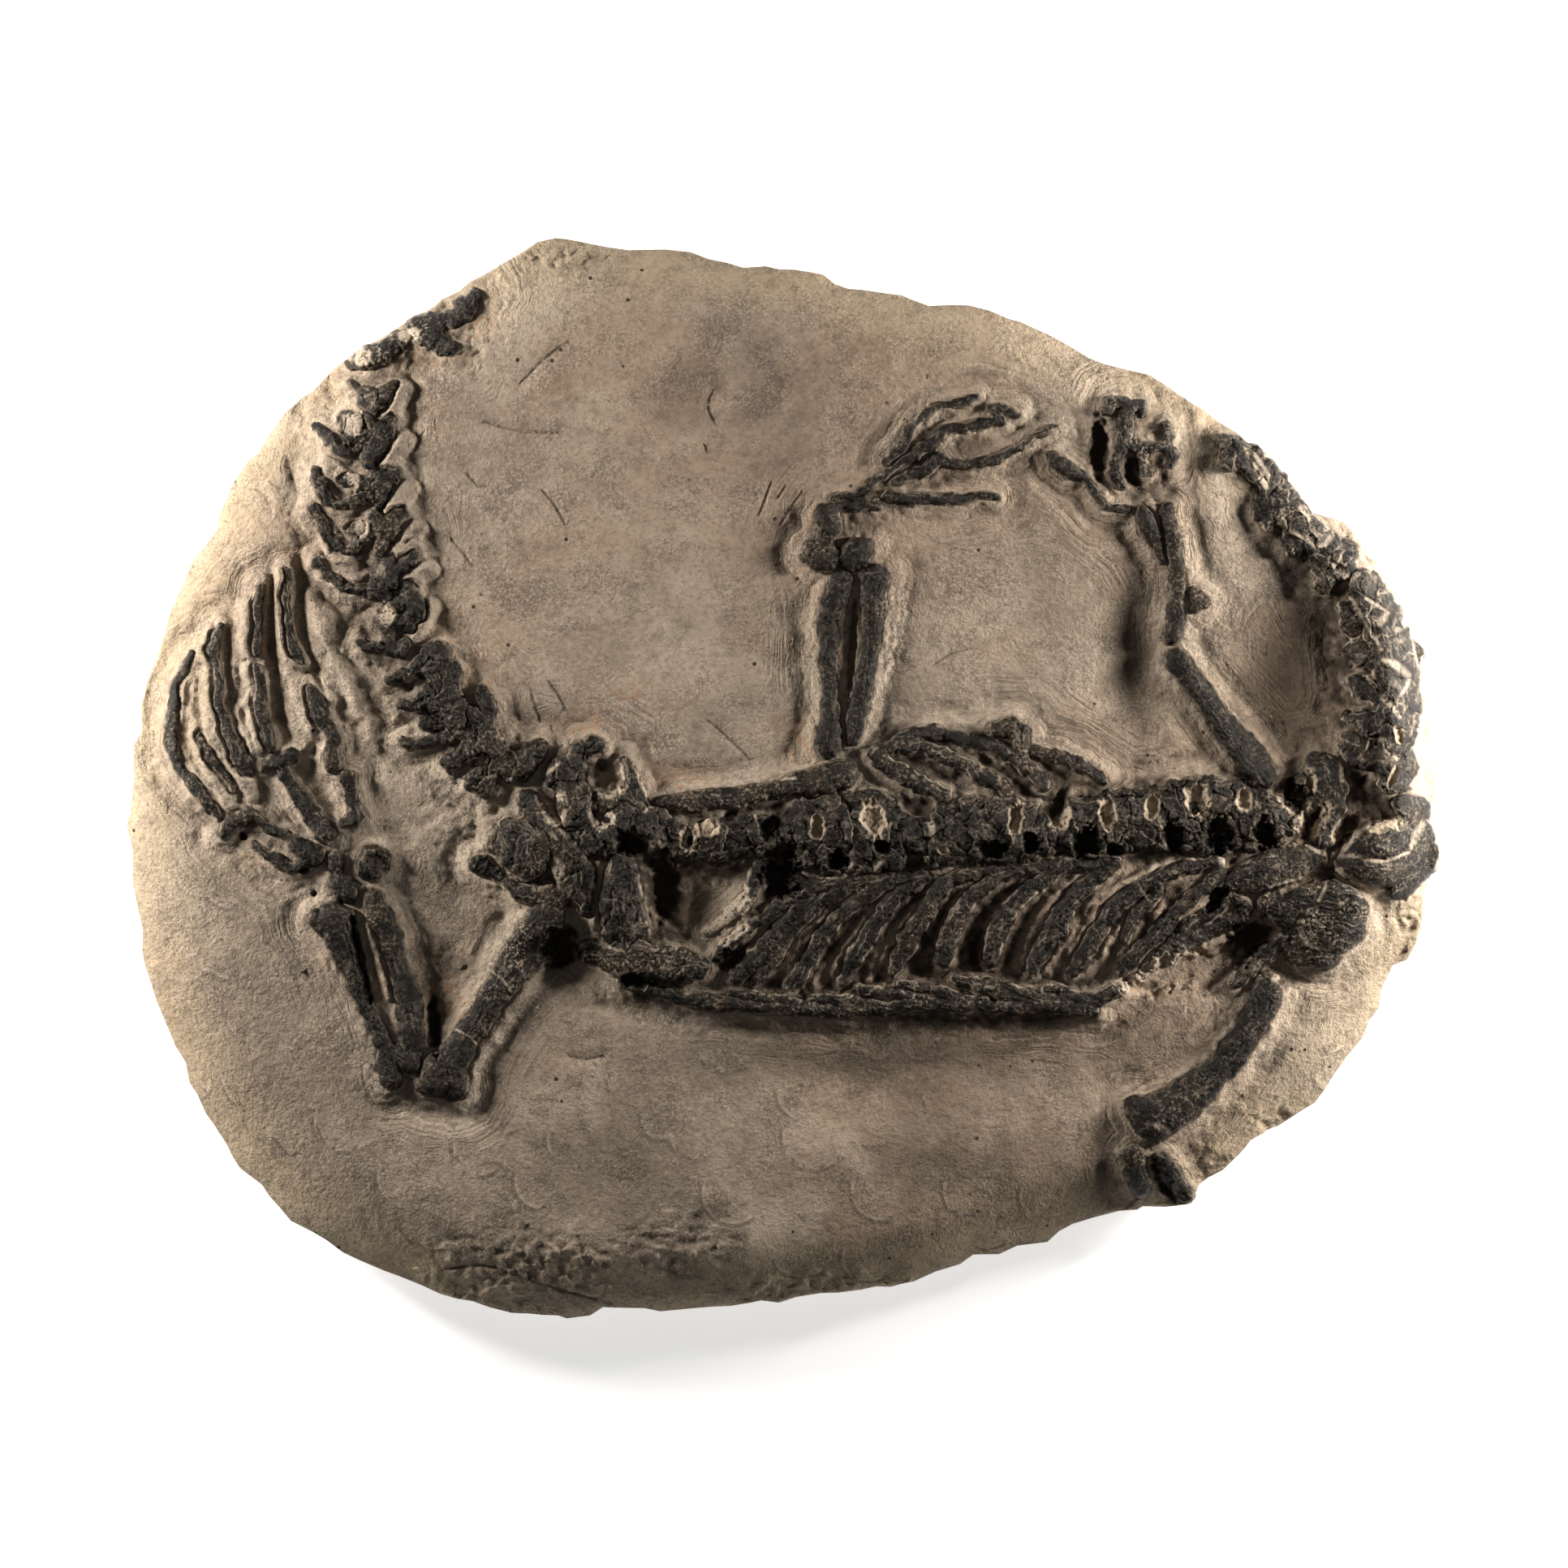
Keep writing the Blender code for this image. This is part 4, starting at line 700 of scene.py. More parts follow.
# Grooves in the stone beside the bones: the depth in mm and the stroke.
STONE_GROOVES = (
    (1.6, [(335, 712, 3), (334, 780, 4), (338, 850, 5), (346, 888, 5)]),
    (1.5, [(278, 775, 4), (281, 830, 5), (287, 890, 5)]),
    (1.2, [(240, 806, 4), (231, 860, 4), (231, 905, 4), (246, 945, 4), (268, 985, 4)]),
    (1.4, [(370, 690, 5), (372, 740, 5), (376, 790, 4), (394, 835, 4)]),
    (1.0, [(560, 1170, 12), (548, 1230, 16), (536, 1280, 10)]),
    (0.8, [(1470, 540, 14), (1466, 585, 12)]),
)

# Stone standing up between and beside the bones: the height in mm and the stroke.
STONE_RIDGES = (
    (2.2, [(247, 797, 6), (236, 835, 7), (234, 874, 8), (241, 915, 8), (254, 952, 8), (282, 988, 7)]),
    (2.2, [(258, 778, 6), (252, 826, 8), (256, 868, 8), (266, 910, 8), (300, 956, 8), (312, 978, 7)]),
    (2.4, [(302, 745, 7), (298, 810, 9), (300, 870, 9), (316, 920, 8)]),
    (2.4, [(348, 706, 6), (350, 766, 8), (361, 840, 10), (376, 910, 10)]),
    (2.0, [(384, 736, 8), (398, 796, 9), (418, 856, 9)]),
    (1.6, [(400, 750, 6), (420, 820, 8), (436, 880, 8)]),
    (2.8, [(500, 480, 8), (482, 508, 9), (470, 524, 7)]),
    (2.8, [(502, 542, 8), (484, 566, 9), (470, 580, 7)]),
    (2.8, [(506, 602, 8), (490, 622, 9), (476, 634, 7)]),
    (2.8, [(516, 652, 8), (498, 676, 9), (482, 690, 7)]),
    (2.4, [(530, 702, 8), (514, 712, 8), (502, 718, 7)]),
    (2.4, [(532, 748, 8), (520, 768, 9), (508, 784, 7)]),
    (1.8, [(420, 515, 7), (450, 536, 7)]),
    (2.0, [(402, 570, 7), (425, 590, 8), (440, 606, 7)]),
    (2.0, [(396, 606, 7), (420, 636, 9), (438, 656, 7)]),
    (2.0, [(398, 640, 7), (420, 690, 9), (446, 712, 8)]),
    (1.6, [(455, 1140, 3), (466, 1180, 4), (480, 1230, 3)]),
    (1.2, [(565, 1350, 6), (590, 1300, 8), (612, 1268, 8), (650, 1212, 8), (670, 1180, 6)]),
    (1.6, [(1417, 620, 4), (1428, 655, 5), (1438, 690, 4)]),
    (1.5, [(1052, 1106, 6), (1020, 1122, 7), (1000, 1141, 7), (984, 1166, 7), (968, 1192, 6)]),
    (1.5, [(1112, 1106, 6), (1080, 1122, 7), (1060, 1146, 7), (1040, 1171, 7), (1020, 1196, 7),
    (1006, 1212, 6)]),
    (1.5, [(1150, 1106, 6), (1120, 1131, 7), (1100, 1156, 7), (1082, 1180, 6), (1071, 1203, 5)]),
    (1.5, [(1352, 1072, 6), (1310, 1096, 7), (1286, 1121, 7), (1270, 1146, 7), (1251, 1192, 6)]),
    (1.5, [(1360, 1106, 6), (1336, 1140, 8), (1312, 1168, 9), (1292, 1196, 6)]),
    (1.8, [(1460, 1065, 5), (1420, 1076, 7), (1390, 1091, 7), (1360, 1101, 7), (1341, 1118, 6)]),
    (1.6, [(1395, 1112, 5), (1380, 1141, 6), (1366, 1156, 6), (1356, 1172, 6)]),
    (2.2, [(1418, 1106, 8), (1426, 1126, 8)]),
    (1.4, [(985, 1106, 5), (930, 1136, 5), (901, 1160, 5), (879, 1179, 5)]),
    (2.4, [(735, 1062, 5), (738, 1082, 6), (731, 1110, 6), (736, 1140, 6), (746, 1160, 5)]),
    (1.6, [(600, 1000, 7), (598, 1040, 7), (612, 1082, 7)]),
    (1.4, [(1080, 1085, 4), (1150, 1073, 4), (1210, 1063, 4), (1330, 1058, 4), (1380, 1048, 4)]),
    (1.6, [(1600, 1042, 6), (1636, 1058, 7), (1662, 1052, 6)]),
    (1.4, [(1655, 1048, 4), (1700, 1064, 4), (1750, 1056, 4)]),
)

# Pale stone filling cracks and covering corners of bones: strokes in pixels.
SEAMS = (
    [(661, 981, 2), (681, 1012, 2.5), (711, 1042, 3), (737, 1072, 3), (734, 1103, 3), (733, 1143, 3),
     (747, 1164, 2.5), (767, 1171, 2)],
    [(729, 941, 3), (733, 960, 3), (737, 976, 3), (752, 982, 3), (767, 976, 3), (775, 961, 2.5),
    (770, 936, 3)],
    [(731, 988, 2), (729, 1006, 3), (739, 1024, 2.5)],
    [(666, 991, 2.5), (676, 1012, 3), (691, 1014, 3), (699, 989, 2.5), (696, 976, 2)],
    [(608, 1057, 2.5), (630, 1078, 3), (661, 1089, 5), (684, 1083, 8), (692, 1066, 5), (684, 1056, 2)],
    [(823, 999, 2), (853, 1004, 2), (884, 999, 2.5), (910, 994, 2.5), (924, 999, 2.5), (934, 1012, 2),
     (939, 1032, 2)],
    [(795, 1062, 2.5), (790, 1085, 3), (792, 1100, 3), (800, 1116, 2.5)],
    [(924, 1050, 2.5), (922, 1078, 3), (905, 1110, 3), (876, 1140, 3), (870, 1156, 3)],
    [(823, 976, 2), (860, 970, 2.5), (904, 964, 2.5), (980, 959, 2)],
    [(795, 1000, 2), (805, 992, 3), (800, 984, 2.5), (790, 962, 3), (782, 940, 3)],
    [(1635, 1080, 2), (1630, 1095, 2.5), (1622, 1110, 2)],
    [(1600, 1145, 2), (1606, 1155, 3), (1612, 1165, 2.5), (1625, 1168, 2)],
    [(1558, 1094, 2), (1590, 1084, 2.5), (1620, 1078, 3), (1650, 1070, 3)],
    [(1608, 1041, 2), (1625, 1050, 3), (1645, 1054, 4), (1670, 1054, 3), (1700, 1061, 2.5),
    (1735, 1050, 2)],
    [(1636, 1054, 3), (1640, 1066, 5), (1622, 1077, 5), (1600, 1084, 2)],
    [(1640, 1070, 4), (1658, 1082, 5), (1678, 1094, 6), (1692, 1100, 3)],
    [(1652, 1050, 2.5), (1664, 1036, 3), (1682, 1014, 2.5)],
    [(1738, 1044, 4), (1744, 1028, 6), (1752, 1016, 5)],
    [(1640, 925, 3), (1654, 937, 4), (1651, 950, 3), (1652, 962, 3)],
    [(1694, 912, 3), (1702, 911, 4), (1708, 925, 3), (1720, 936, 2.5)],
    [(1572, 976, 2.5), (1576, 988, 3), (1592, 1002, 4)],
    [(1658, 962, 3), (1664, 954, 4), (1672, 950, 3)],
    [(1680, 985, 4), (1690, 980, 6), (1688, 992, 3)],
    [(1578, 1196, 7), (1570, 1206, 5)],
    [(660, 1094, 5), (676, 1084, 8), (690, 1066, 5)],
    [(605, 1195, 1.5), (620, 1206, 2), (630, 1220, 1.5)],
    [(563, 1268, 1.5), (580, 1276, 1.5), (592, 1290, 1.5)],
    [(1425, 1385, 4), (1440, 1395, 4)],
    [(660, 962, 2), (676, 952, 2.5), (690, 940, 2)],
    [(630, 960, 2), (634, 972, 2.5), (628, 980, 2)],
    [(1062, 1068, 4), (1074, 1072, 4), (1086, 1062, 3)],
    [(1020, 1080, 3), (1040, 1078, 4), (1050, 1064, 3)],
    [(1140, 1002, 4), (1147, 1018, 5), (1150, 1034, 4)],
    [(1502, 1050, 6), (1506, 1062, 5)],
    [(1428, 1008, 4), (1434, 1026, 5), (1438, 1044, 3)],
    [(1592, 1002, 3), (1596, 1018, 3)],
    [(1580, 630, 4), (1583, 644, 4), (1592, 656, 3), (1608, 664, 2.5), (1620, 674, 3)],
    [(1620, 672, 3), (1632, 672, 4), (1640, 662, 4)], [(1650, 706, 4), (1662, 714, 6), (1672, 708, 4)],
    [(1640, 690, 2), (1650, 716, 2.5), (1668, 745, 2.5), (1684, 775, 2.5), (1700, 800, 2.5)],
    [(1684, 762, 5), (1698, 768, 6), (1708, 756, 4)],
    [(1682, 738, 2.5), (1692, 744, 2.5), (1706, 752, 2.5)],
    [(1702, 814, 3), (1718, 820, 6), (1734, 832, 5)], [(1736, 838, 3), (1728, 852, 3), (1722, 858, 2)],
    [(1702, 860, 5), (1712, 870, 4), (1722, 884, 3)], [(1741, 786, 2), (1744, 804, 2.5), (1748, 820, 2)],
    [(1602, 626, 3), (1612, 640, 4)], [(1552, 590, 3), (1560, 600, 4)], [(1546, 560, 3), (1560, 580, 3)],
    [(1534, 552, 2.5), (1546, 574, 2.5), (1560, 596, 2.5)],
)

# Each group: its strokes, the height of its bones' axes over the stone, how flat-topped they are, how
# rugged, how much pale crust lies in their creases, and how far they are wider than their solids, in pixels.
GROUPS = (
    (TRUNK, 1.2 * MM, 2.8, 0.7, 0.45, 4.0),
    (NECK, 1.1 * MM, 2.8, 0.6, 1.0, 1.0),
    (HIPS, 1.2 * MM, 4.0, 0.3, 0.8, 3.0),
    (LOWER_LEG, 1.2 * MM, 2.8, 0.12, 0.35, -0.6),
    (UPPER_LEG, 0.9 * MM, 2.8, 0.15, 0.35, 1.0),
    (SHOULDER, 1.1 * MM, 3.4, 0.14, 0.7, 4.0),
    (LOWER_ARM, 1.1 * MM, 2.8, 0.10, 0.3, 1.5),
    (UPPER_ARM, 0.8 * MM, 2.6, 0.12, 0.3, 0.5),
    (RIBS, 1.1 * MM, 2.6, 0.25, 0.75, 1.6),
    (TAIL, 0.8 * MM, 2.8, 0.5, 0.4, 2.0),
    (LOWER_FOOT, 0.8 * MM, 2.6, 0.15, 0.5, -1.2),
    (UPPER_FOOT, 0.7 * MM, 2.4, 0.2, 0.5, -0.4),
)

# The most that a bone rises over its axis, and how far it is squashed below that.
CAP = 5 * MM
SQUASH = 0.8

# How far noise moves the bones' outlines, in pixels: all bones, and the most rugged ones on top of it.
OUTLINE_WAVER = 2.4
RUGGED_WAVER = 4.0

# How far a bone reaches beyond its own outline, in pixels, how steeply it dives into the stone there, and
# how deep its underside lies.
SKIRT = 2.6
SKIRT_SLOPE = 3.0
BONE_DEPTH = 3.0 * MM

# The bones' own bumps, in mm: facets, the creases between them, streaks, grain, and sunk seams.
FACETS = 1.5
CREASES = 0.7
STREAKS = 0.14
GRAIN = 0.07
SUNK_SEAMS = 0.15

# A bone thinner than this half-width, in pixels, is smoother, and finer strokes are calmer by this share.
FULL_WIDTH = 14.0
CALMING = 0.8

# The stone beside the bones: it climbs to them, and a channel runs round them. Lengths in pixels.
PEDESTAL_REACH = 8.0
PEDESTAL_SHORT = 0.25 * MM
CHANNEL_AT = 21.0
CHANNEL_WIDTH = 12.0
CHANNEL_DEPTH = 1.3 * MM
DIVE = 5 * MM

# Where the channels are deeper or shallower: x, y, the half-widths in pixels, and the factor added.
CHANNEL_STRENGTH = (
    (320, 880, 130, 160, 1.5), (1100, 1150, 260, 80, 0.8), (450, 620, 70, 160, 0.9),
    (1400, 560, 70, 60, 0.6),
    (690, 1060, 90, 90, 0.4), (400, 1210, 44, 120, -0.9), (440, 1310, 40, 60, -0.9),
    (560, 1260, 60, 90, -0.5),
    (1100, 740, 34, 120, -0.4), (1070, 700, 90, 180, -0.5), (880, 1115, 60, 60, -0.8),
)

# The open stone's own bumps, in mm: its swell, its lumps anywhere, beside bones and under dark stone, tool
# marks beside bones, chips at the rim, flakes and lumps where it is broken, and scratches.
SWELL = 0.55
LUMPS = 0.05
LUMPS_BESIDE = 0.07
LUMPS_IN_DARK = 0.45
TOOL_MARKS = 0.2
CHIPS = 1.1
CHIPS_SUNK = 0.3
FLAKES = 1.1
BROKEN_LUMPS = 0.35
SCRATCH_DEPTH = 0.5

# Ridges and grooves of the stone and seams are drawn this much wider than their strokes.
RIDGE_WIDENING = 1.7
SEAM_WIDENING = 1.3

# The rings of the slab's side: size, share of the way down, and roughness. Then those of its underside.
SIDE_RINGS = (
    (1.004, 0.12, 0.6), (1.003, 0.35, 1.0), (0.999, 0.6, 1.0), (0.992, 0.85, 0.8), (0.975, 1.0, 0.4),
)
UNDER_RINGS = (0.93, 0.86, 0.78, UNDERSIDE_START)
SIDE_ROUGHNESS = 0.004
EDGE_ROUGHNESS = 0.005
EDGE_INSET = 0.002
UNDERSIDE_BUMPS = 0.2 * MM

# Meshing: points along the slab's side, its triangles, the distances from a bone in pixels between which it
# keeps most of them, how far it favours those, and the share of triangles that the bones keep.
SLAB_GRID = 800
SLAB_TRIANGLES = 196000
DETAILED = (-5, 34)
OPEN_STONE_WEIGHT = 0.9
BONE_KEEP = 0.40

# How far from a stroke its bone is worked out, in pixels, and a distance for "far from everything".
REACH = 60
FAR = 999.0

# The carved lines beside the bones: how many to a pixel away from the bone, and to a metre along it.
LINE_COUNT = 0.22
LINE_LENGTH = 50.0

# The arcs that the tool left: cells to a metre, radius and width as shares of a cell, and the shadows' ones.
ARC_CELLS = 52
ARC = (0.42, 0.022)
ARC_SHADOW = (0.47, 0.026)
ARC_SIDE = (-0.5, -0.8, 0.0)

# Colours, linear.
STONE_GREY = (0.285, 0.228, 0.172, 1)
STONE_TAN = (0.44, 0.34, 0.215, 1)
STONE_PALE = (0.46, 0.378, 0.29, 1)
STONE_LIGHT = (0.60, 0.50, 0.39, 1)
STONE_WARM = (0.30, 0.205, 0.135, 1)
# The next two: a smoky grey for random dark patches and for the painted shade beside the tool arcs and carved
# lines, and a darker painted shade for the hollows and the stone below raised parts.
STONE_SMOKE_AND_SHADE = (0.115, 0.09, 0.07, 1)
STONE_PAINTED_SHADE = (0.055, 0.041, 0.029, 1)
STONE_RUST = (0.40, 0.215, 0.105, 1)
STONE_UMBER = (0.040, 0.028, 0.019, 1)
BONE_BLACK = (0.004, 0.0038, 0.0034, 1)
BONE_GREY = (0.017, 0.0148, 0.0125, 1)
BONE_BROWN = (0.027, 0.0185, 0.0115, 1)
BONE_SHINE = (1.0, 0.93, 0.85, 1)
CRUST = (0.42, 0.34, 0.25, 1)
WHITE = (1, 1, 1, 1)

# Each light: its place, its target, its two sides and its power. Lengths in metres.
LIGHTS = {
    "left_light": ((-0.55, 0.20, 0.172), (-0.03, 0.02, 0.02), (0.07, 0.22), 6.2),
    "right_light": ((0.49, 0.11, 0.137), (0.04, 0.01, 0.02), (0.06, 0.20), 5.6),
}
LIGHT_COLOUR = (1.0, 0.95, 0.89)
WORLD_STRENGTH = 0.07

# The floor: its half-side, its height, its grey and its glow.
FLOOR_REACH = 3
FLOOR_HEIGHT = -0.0002
FLOOR_GREY = (0.9, 0.9, 0.9, 1)
FLOOR_GLOW = 0.64

# The camera: the picture's middle pixel, the lens and sensor in mm, and what the frame spans at which height.
PICTURE_MIDDLE = 966
LENS = 250
SENSOR = 36
FRAME_SPAN = 0.425
FRAME_HEIGHT = 0.022


def place(x, y):
    """A pixel's place on the model, in metres."""
    return (x - CENTRE_X) * PIXEL, (CENTRE_Y - y) * PIXEL


def smoothstep(value):
    value = np.clip(value, 0.0, 1.0)
    return value * value * (3 - 2 * value)


def gradient_noise(u, v, seed):
    """Smooth noise, about from -1 to 1, whose bumps are about one unit of u and v wide."""
    turns = np.random.default_rng(seed).random((256, 256), dtype=np.float32) * math.tau
    slope_u, slope_v = np.cos(turns), np.sin(turns)
    i = np.floor(u).astype(np.int32)
    j = np.floor(v).astype(np.int32)
    fu, fv = u - i, v - j
    su, sv = smoothstep(fu), smoothstep(fv)
    total = 0.0
    for di, weight_u in ((0, 1 - su), (1, su)):
        for dj, weight_v in ((0, 1 - sv), (1, sv)):
            corner = (i + di) & 255, (j + dj) & 255
            total = total + weight_u * weight_v * (slope_u[corner] * (fu - di) + slope_v[corner] * (fv - dj))
    return 1.5 * total


def layered_noise(u, v, seed, octaves=3):
    """Noise of several sizes around 0, each turned against the one before it."""
    total = 0.0
    weight = 1.0
    for octave in range(octaves):
        total = total + weight * gradient_noise(u, v, seed + octave)
        weight *= 0.55
        u, v = 1.6 * u + 1.2 * v + 17.3, 1.6 * v - 1.2 * u + 9.1
    return total


def facets(u, v, seed):
    """Flat pieces, each about one unit wide and tilted its own way: height, and distance from a border."""
    table = np.random.default_rng(seed).random((256, 256, 5), dtype=np.float32)
    i = np.floor(u).astype(np.int32)
    j = np.floor(v).astype(np.int32)
    first = np.full(u.shape, 9.0, np.float32)
    second = np.full(u.shape, 9.0, np.float32)
    height = np.zeros(u.shape, np.float32)
    for di in (-1, 0, 1):
        for dj in (-1, 0, 1):
            spot = table[(i + di) & 255, (j + dj) & 255]
            du = u - i - di - spot[..., 0]
            dv = v - j - dj - spot[..., 1]
            away = np.hypot(du, dv)
            flat = spot[..., 2] - 0.5 + 1.5 * (spot[..., 3] - 0.5) * du + 1.5 * (spot[..., 4] - 0.5) * dv
            height = np.where(away < first, flat, height)
            second = np.minimum(second, np.maximum(first, away))
            first = np.minimum(first, away)
    return height, second - first


class Grid:
    """The pixels' places, and the values that every field needs."""

    def __init__(self):
        columns = np.arange(LEFT, LEFT + COLUMNS, dtype=np.float32)
        rows = np.arange(TOP, TOP + ROWS, dtype=np.float32)
        self.x, self.y = np.meshgrid(columns, rows)
        self.waver_x = self.noise(19, seed=3)
        self.waver_y = self.noise(19, seed=13)

    def noise(self, size, seed, octaves=3):
        """Noise whose broadest bumps are this many pixels wide."""
        return layered_noise(self.x / size, self.y / size, seed, octaves)

    def field(self, value=0.0):
        return np.full(self.x.shape, value, np.float32)

    def window(self, x0, y0, x1, y1):
        """The part of the grid between two corners, as a pair of slices."""
        a = max(0, int(math.floor(x0)) - LEFT)
        b = min(COLUMNS, int(math.ceil(x1)) - LEFT + 1)
        c = max(0, int(math.floor(y0)) - TOP)
        d = min(ROWS, int(math.ceil(y1)) - TOP + 1)
        return slice(c, d), slice(a, b)

    def around(self, a, b, reach):
        """The part of the grid within reach of two points."""
        x0, x1 = sorted((a[0], b[0]))
        y0, y1 = sorted((a[1], b[1]))
        return self.window(x0 - reach, y0 - reach, x1 + reach, y1 + reach)

    def spots(self, rows):
        """Soft ellipses from rows of x, y, two half-widths and a strength from 0 to 1."""
        field = self.field()
        for x, y, wide, tall, strength in rows:
            away = ((self.x - x) / wide) ** 2 + ((self.y - y) / tall) ** 2
            field = np.maximum(field, strength * np.exp(-away))
        return field

    def stamp(self, field, stroke, profile, widening=1.0):
        """Raises the field to a stroke's profile(u), where u is the distance over the half-width, below 1."""
        points = dense([(x, y, widening * r) for x, y, r in stroke])
        for a, b in zip(points, points[1:]):
            part = self.around(a, b, max(a[2], b[2]) + 1)
            t, away, _, _ = along_segment(self.x[part] - a[0], self.y[part] - a[1], a, b)
            u = away / (a[2] + (b[2] - a[2]) * t)
            field[part] = np.maximum(field[part], np.where(u < 1, profile(u), 0.0))


def sample(field, x, y):
    """The field's values between pixels."""
    u = np.clip(x - LEFT, 0, COLUMNS - 1.001)
    v = np.clip(y - TOP, 0, ROWS - 1.001)
    i = v.astype(int)
    j = u.astype(int)
    fu = u - j
    fv = v - i
    upper = field[i, j] * (1 - fu) + field[i, j + 1] * fu
    lower = field[i + 1, j] * (1 - fu) + field[i + 1, j + 1] * fu
    return upper * (1 - fv) + lower * fv


def along_segment(px, py, a, b):
    """For offsets from a: share of the way to b, distance from the segment, distance to its side, length."""
    dx, dy = b[0] - a[0], b[1] - a[1]
    length = max(1e-6, math.hypot(dx, dy))
    t = np.clip((px * dx + py * dy) / length**2, 0, 1)
    return t, np.hypot(px - t * dx, py - t * dy), (px * dy - py * dx) / length, length


def dense(stroke):
    """The stroke's points on one smooth curve, a few pixels apart."""
    points = np.array(stroke, dtype=float)
    if len(points) == 1:
        return np.vstack([points, points + (0.01, 0, 0)])
    padded = np.vstack([2 * points[0] - points[1], points, 2 * points[-1] - points[-2]])
    rows = []
    for a, b, c, d in zip(padded, padded[1:], padded[2:], padded[3:]):
        steps = max(1, int(np.hypot(*(c - b)[:2]) / 7))
        bend = 2 * a - 5 * b + 4 * c - d
        twist = 3 * b - a - 3 * c + d
        for t in np.arange(steps) / steps:
            rows.append(0.5 * (2 * b + (c - a) * t + bend * t**2 + twist * t**3))
    rows.append(points[-1])
    return np.array(rows)


def dome(u):
    return (1 - np.minimum(u, 1.0) ** 2) ** 2


def edge_table():
    """The slab's edge as angles and radii over a full turn and a bit."""
    points = [place(x, y) for x, y in SLAB_EDGE]
    edge = sorted((math.atan2(y, x), math.hypot(x, y)) for x, y in points)
    angles, radii = np.array(edge).T
    return (
        np.concatenate([angles[-1:] - math.tau, angles, angles[:1] + math.tau]),
        np.concatenate([radii[-1:], radii, radii[:1]]),
    )


EDGE_ANGLES, EDGE_RADII = edge_table()


def edge_radius(angle):
    return np.interp(angle, EDGE_ANGLES, EDGE_RADII)


def even_radius(angle):
    """The edge's radius without its notches and steps, for shapes that follow the rim."""
    turned = [(angle + turn + math.pi) % math.tau - math.pi for turn in EVEN_TURNS]
    return sum(edge_radius(angle) for angle in turned) / len(EVEN_TURNS)


def rim_waver(angle):
    """How the edge's chips move it in and out, as a factor."""
    return 1 + EDGE_ROUGHNESS * layered_noise(angle * 22, angle * 0 + 3.3, seed=121, octaves=4) - EDGE_INSET


def top_height(x, y):
    """The height of the stone's top before it is worked, at places in metres."""
    fraction = np.minimum(1.0, np.hypot(x, y) / even_radius(np.arctan2(y, x)))
    rim = np.maximum(0.0, (fraction - RIM_START) / (1 - RIM_START))
    height = CROWN_HEIGHT - GENTLE_FALL * fraction**4 - RIM_FALL * rim**RIM_POWER
    for px, py, wide, tall, rise in RELIEF + FINER_RELIEF:
        cx, cy = place(px, py)
        away = ((x - cx) / (wide * PIXEL)) ** 2 + ((y - cy) / (tall * PIXEL)) ** 2
        height = height + rise * MM * np.exp(-away)
    return height


class Bone:
    """One bone on its window of the grid: distance to its outline, height over the stone, half-width there,
    its own coordinates along and across, and where it is calm because a finer stroke is nearest."""

    def __init__(self, grid, name, strokes, lift, power, rugged, crusty, spread):
        self.name = name
        self.lift = lift
        self.power = power
        self.rugged = rugged
        self.crusty = crusty
        self.spread = spread
        finer = FINER_STROKES.get(name, [])
        xs, ys, radii = zip(*(point for stroke in strokes + finer for point in stroke))
        wide = max(radii) + spread + REACH + 10
        self.window = grid.window(min(xs) - wide, min(ys) - wide, max(xs) + wide, max(ys) + wide)
        shape = grid.x[self.window].shape
        self.distance = np.full(shape, FAR, np.float32)
        self.height = np.full(shape, -1.0, np.float32)
        self.radius = np.ones(shape, np.float32)
        self.along = np.zeros(shape, np.float32)
        self.across = np.zeros(shape, np.float32)
        self.calm = np.zeros(shape, np.float32)
        nearest = np.full(shape, 99.0, np.float32)
        offset = 0.0
        for number, stroke in enumerate(strokes + finer):
            points = dense(stroke)
            for a, b in zip(points, points[1:]):
                offset += self.add_segment(grid, nearest, a, b, offset, number >= len(strokes))
            offset += 50.0
        skirt = lift - SKIRT_SLOPE * PIXEL * np.maximum(self.distance, 0.0)
        self.height = np.where(self.distance < 0, self.height, skirt)

    def add_segment(self, grid, nearest, a, b, offset, calm):
        """Adds the piece of bone between two points, and returns its length."""
        part = grid.around(a, b, max(a[2], b[2]) + REACH)
        part = tuple(slice(max(p.start, w.start), min(p.stop, w.stop)) for p, w in zip(part, self.window))
        inner = tuple(slice(p.start - w.start, p.stop - w.start) for p, w in zip(part, self.window))
        waver = OUTLINE_WAVER + RUGGED_WAVER * self.rugged
        px = grid.x[part] + waver * grid.waver_x[part] - a[0]
        py = grid.y[part] + waver * grid.waver_y[part] - a[1]
        t, away, side, length = along_segment(px, py, a, b)
        radius = self.spread + a[2] + (b[2] - a[2]) * t
        u = away / radius
        rise = radius * PIXEL * np.sqrt(np.maximum(0.0, 1 - u**self.power))
        rise = self.lift + CAP * np.tanh(SQUASH * rise / CAP)
        self.height[inner] = np.maximum(self.height[inner], np.where(u < 1, rise, -1.0))
        self.distance[inner] = np.minimum(self.distance[inner], away - radius)
        nearer = u < nearest[inner]
        for field, value in (
            (nearest, u),
            (self.across, side),
            (self.along, offset + t * length),
            (self.calm, calm),
            (self.radius, radius),
        ):
            field[inner] = np.where(nearer, value, field[inner])
        return length


def build_bones(grid):
    bones = []
    for strokes_by_name, *look in GROUPS:
        for name, strokes in strokes_by_name.items():
            bones.append(Bone(grid, name, strokes, *look))
    return bones


def around_bones(grid, bones):
    """The distance to the nearest bone, in pixels, and that bone's height over the stone."""
    distance = grid.field(FAR)
    lift = grid.field(1.0 * MM)
    for bone in bones:
        nearer = bone.distance < distance[bone.window]
        lift[bone.window] = np.where(nearer, bone.lift, lift[bone.window])
        distance[bone.window] = np.minimum(distance[bone.window], bone.distance)
    return distance, lift


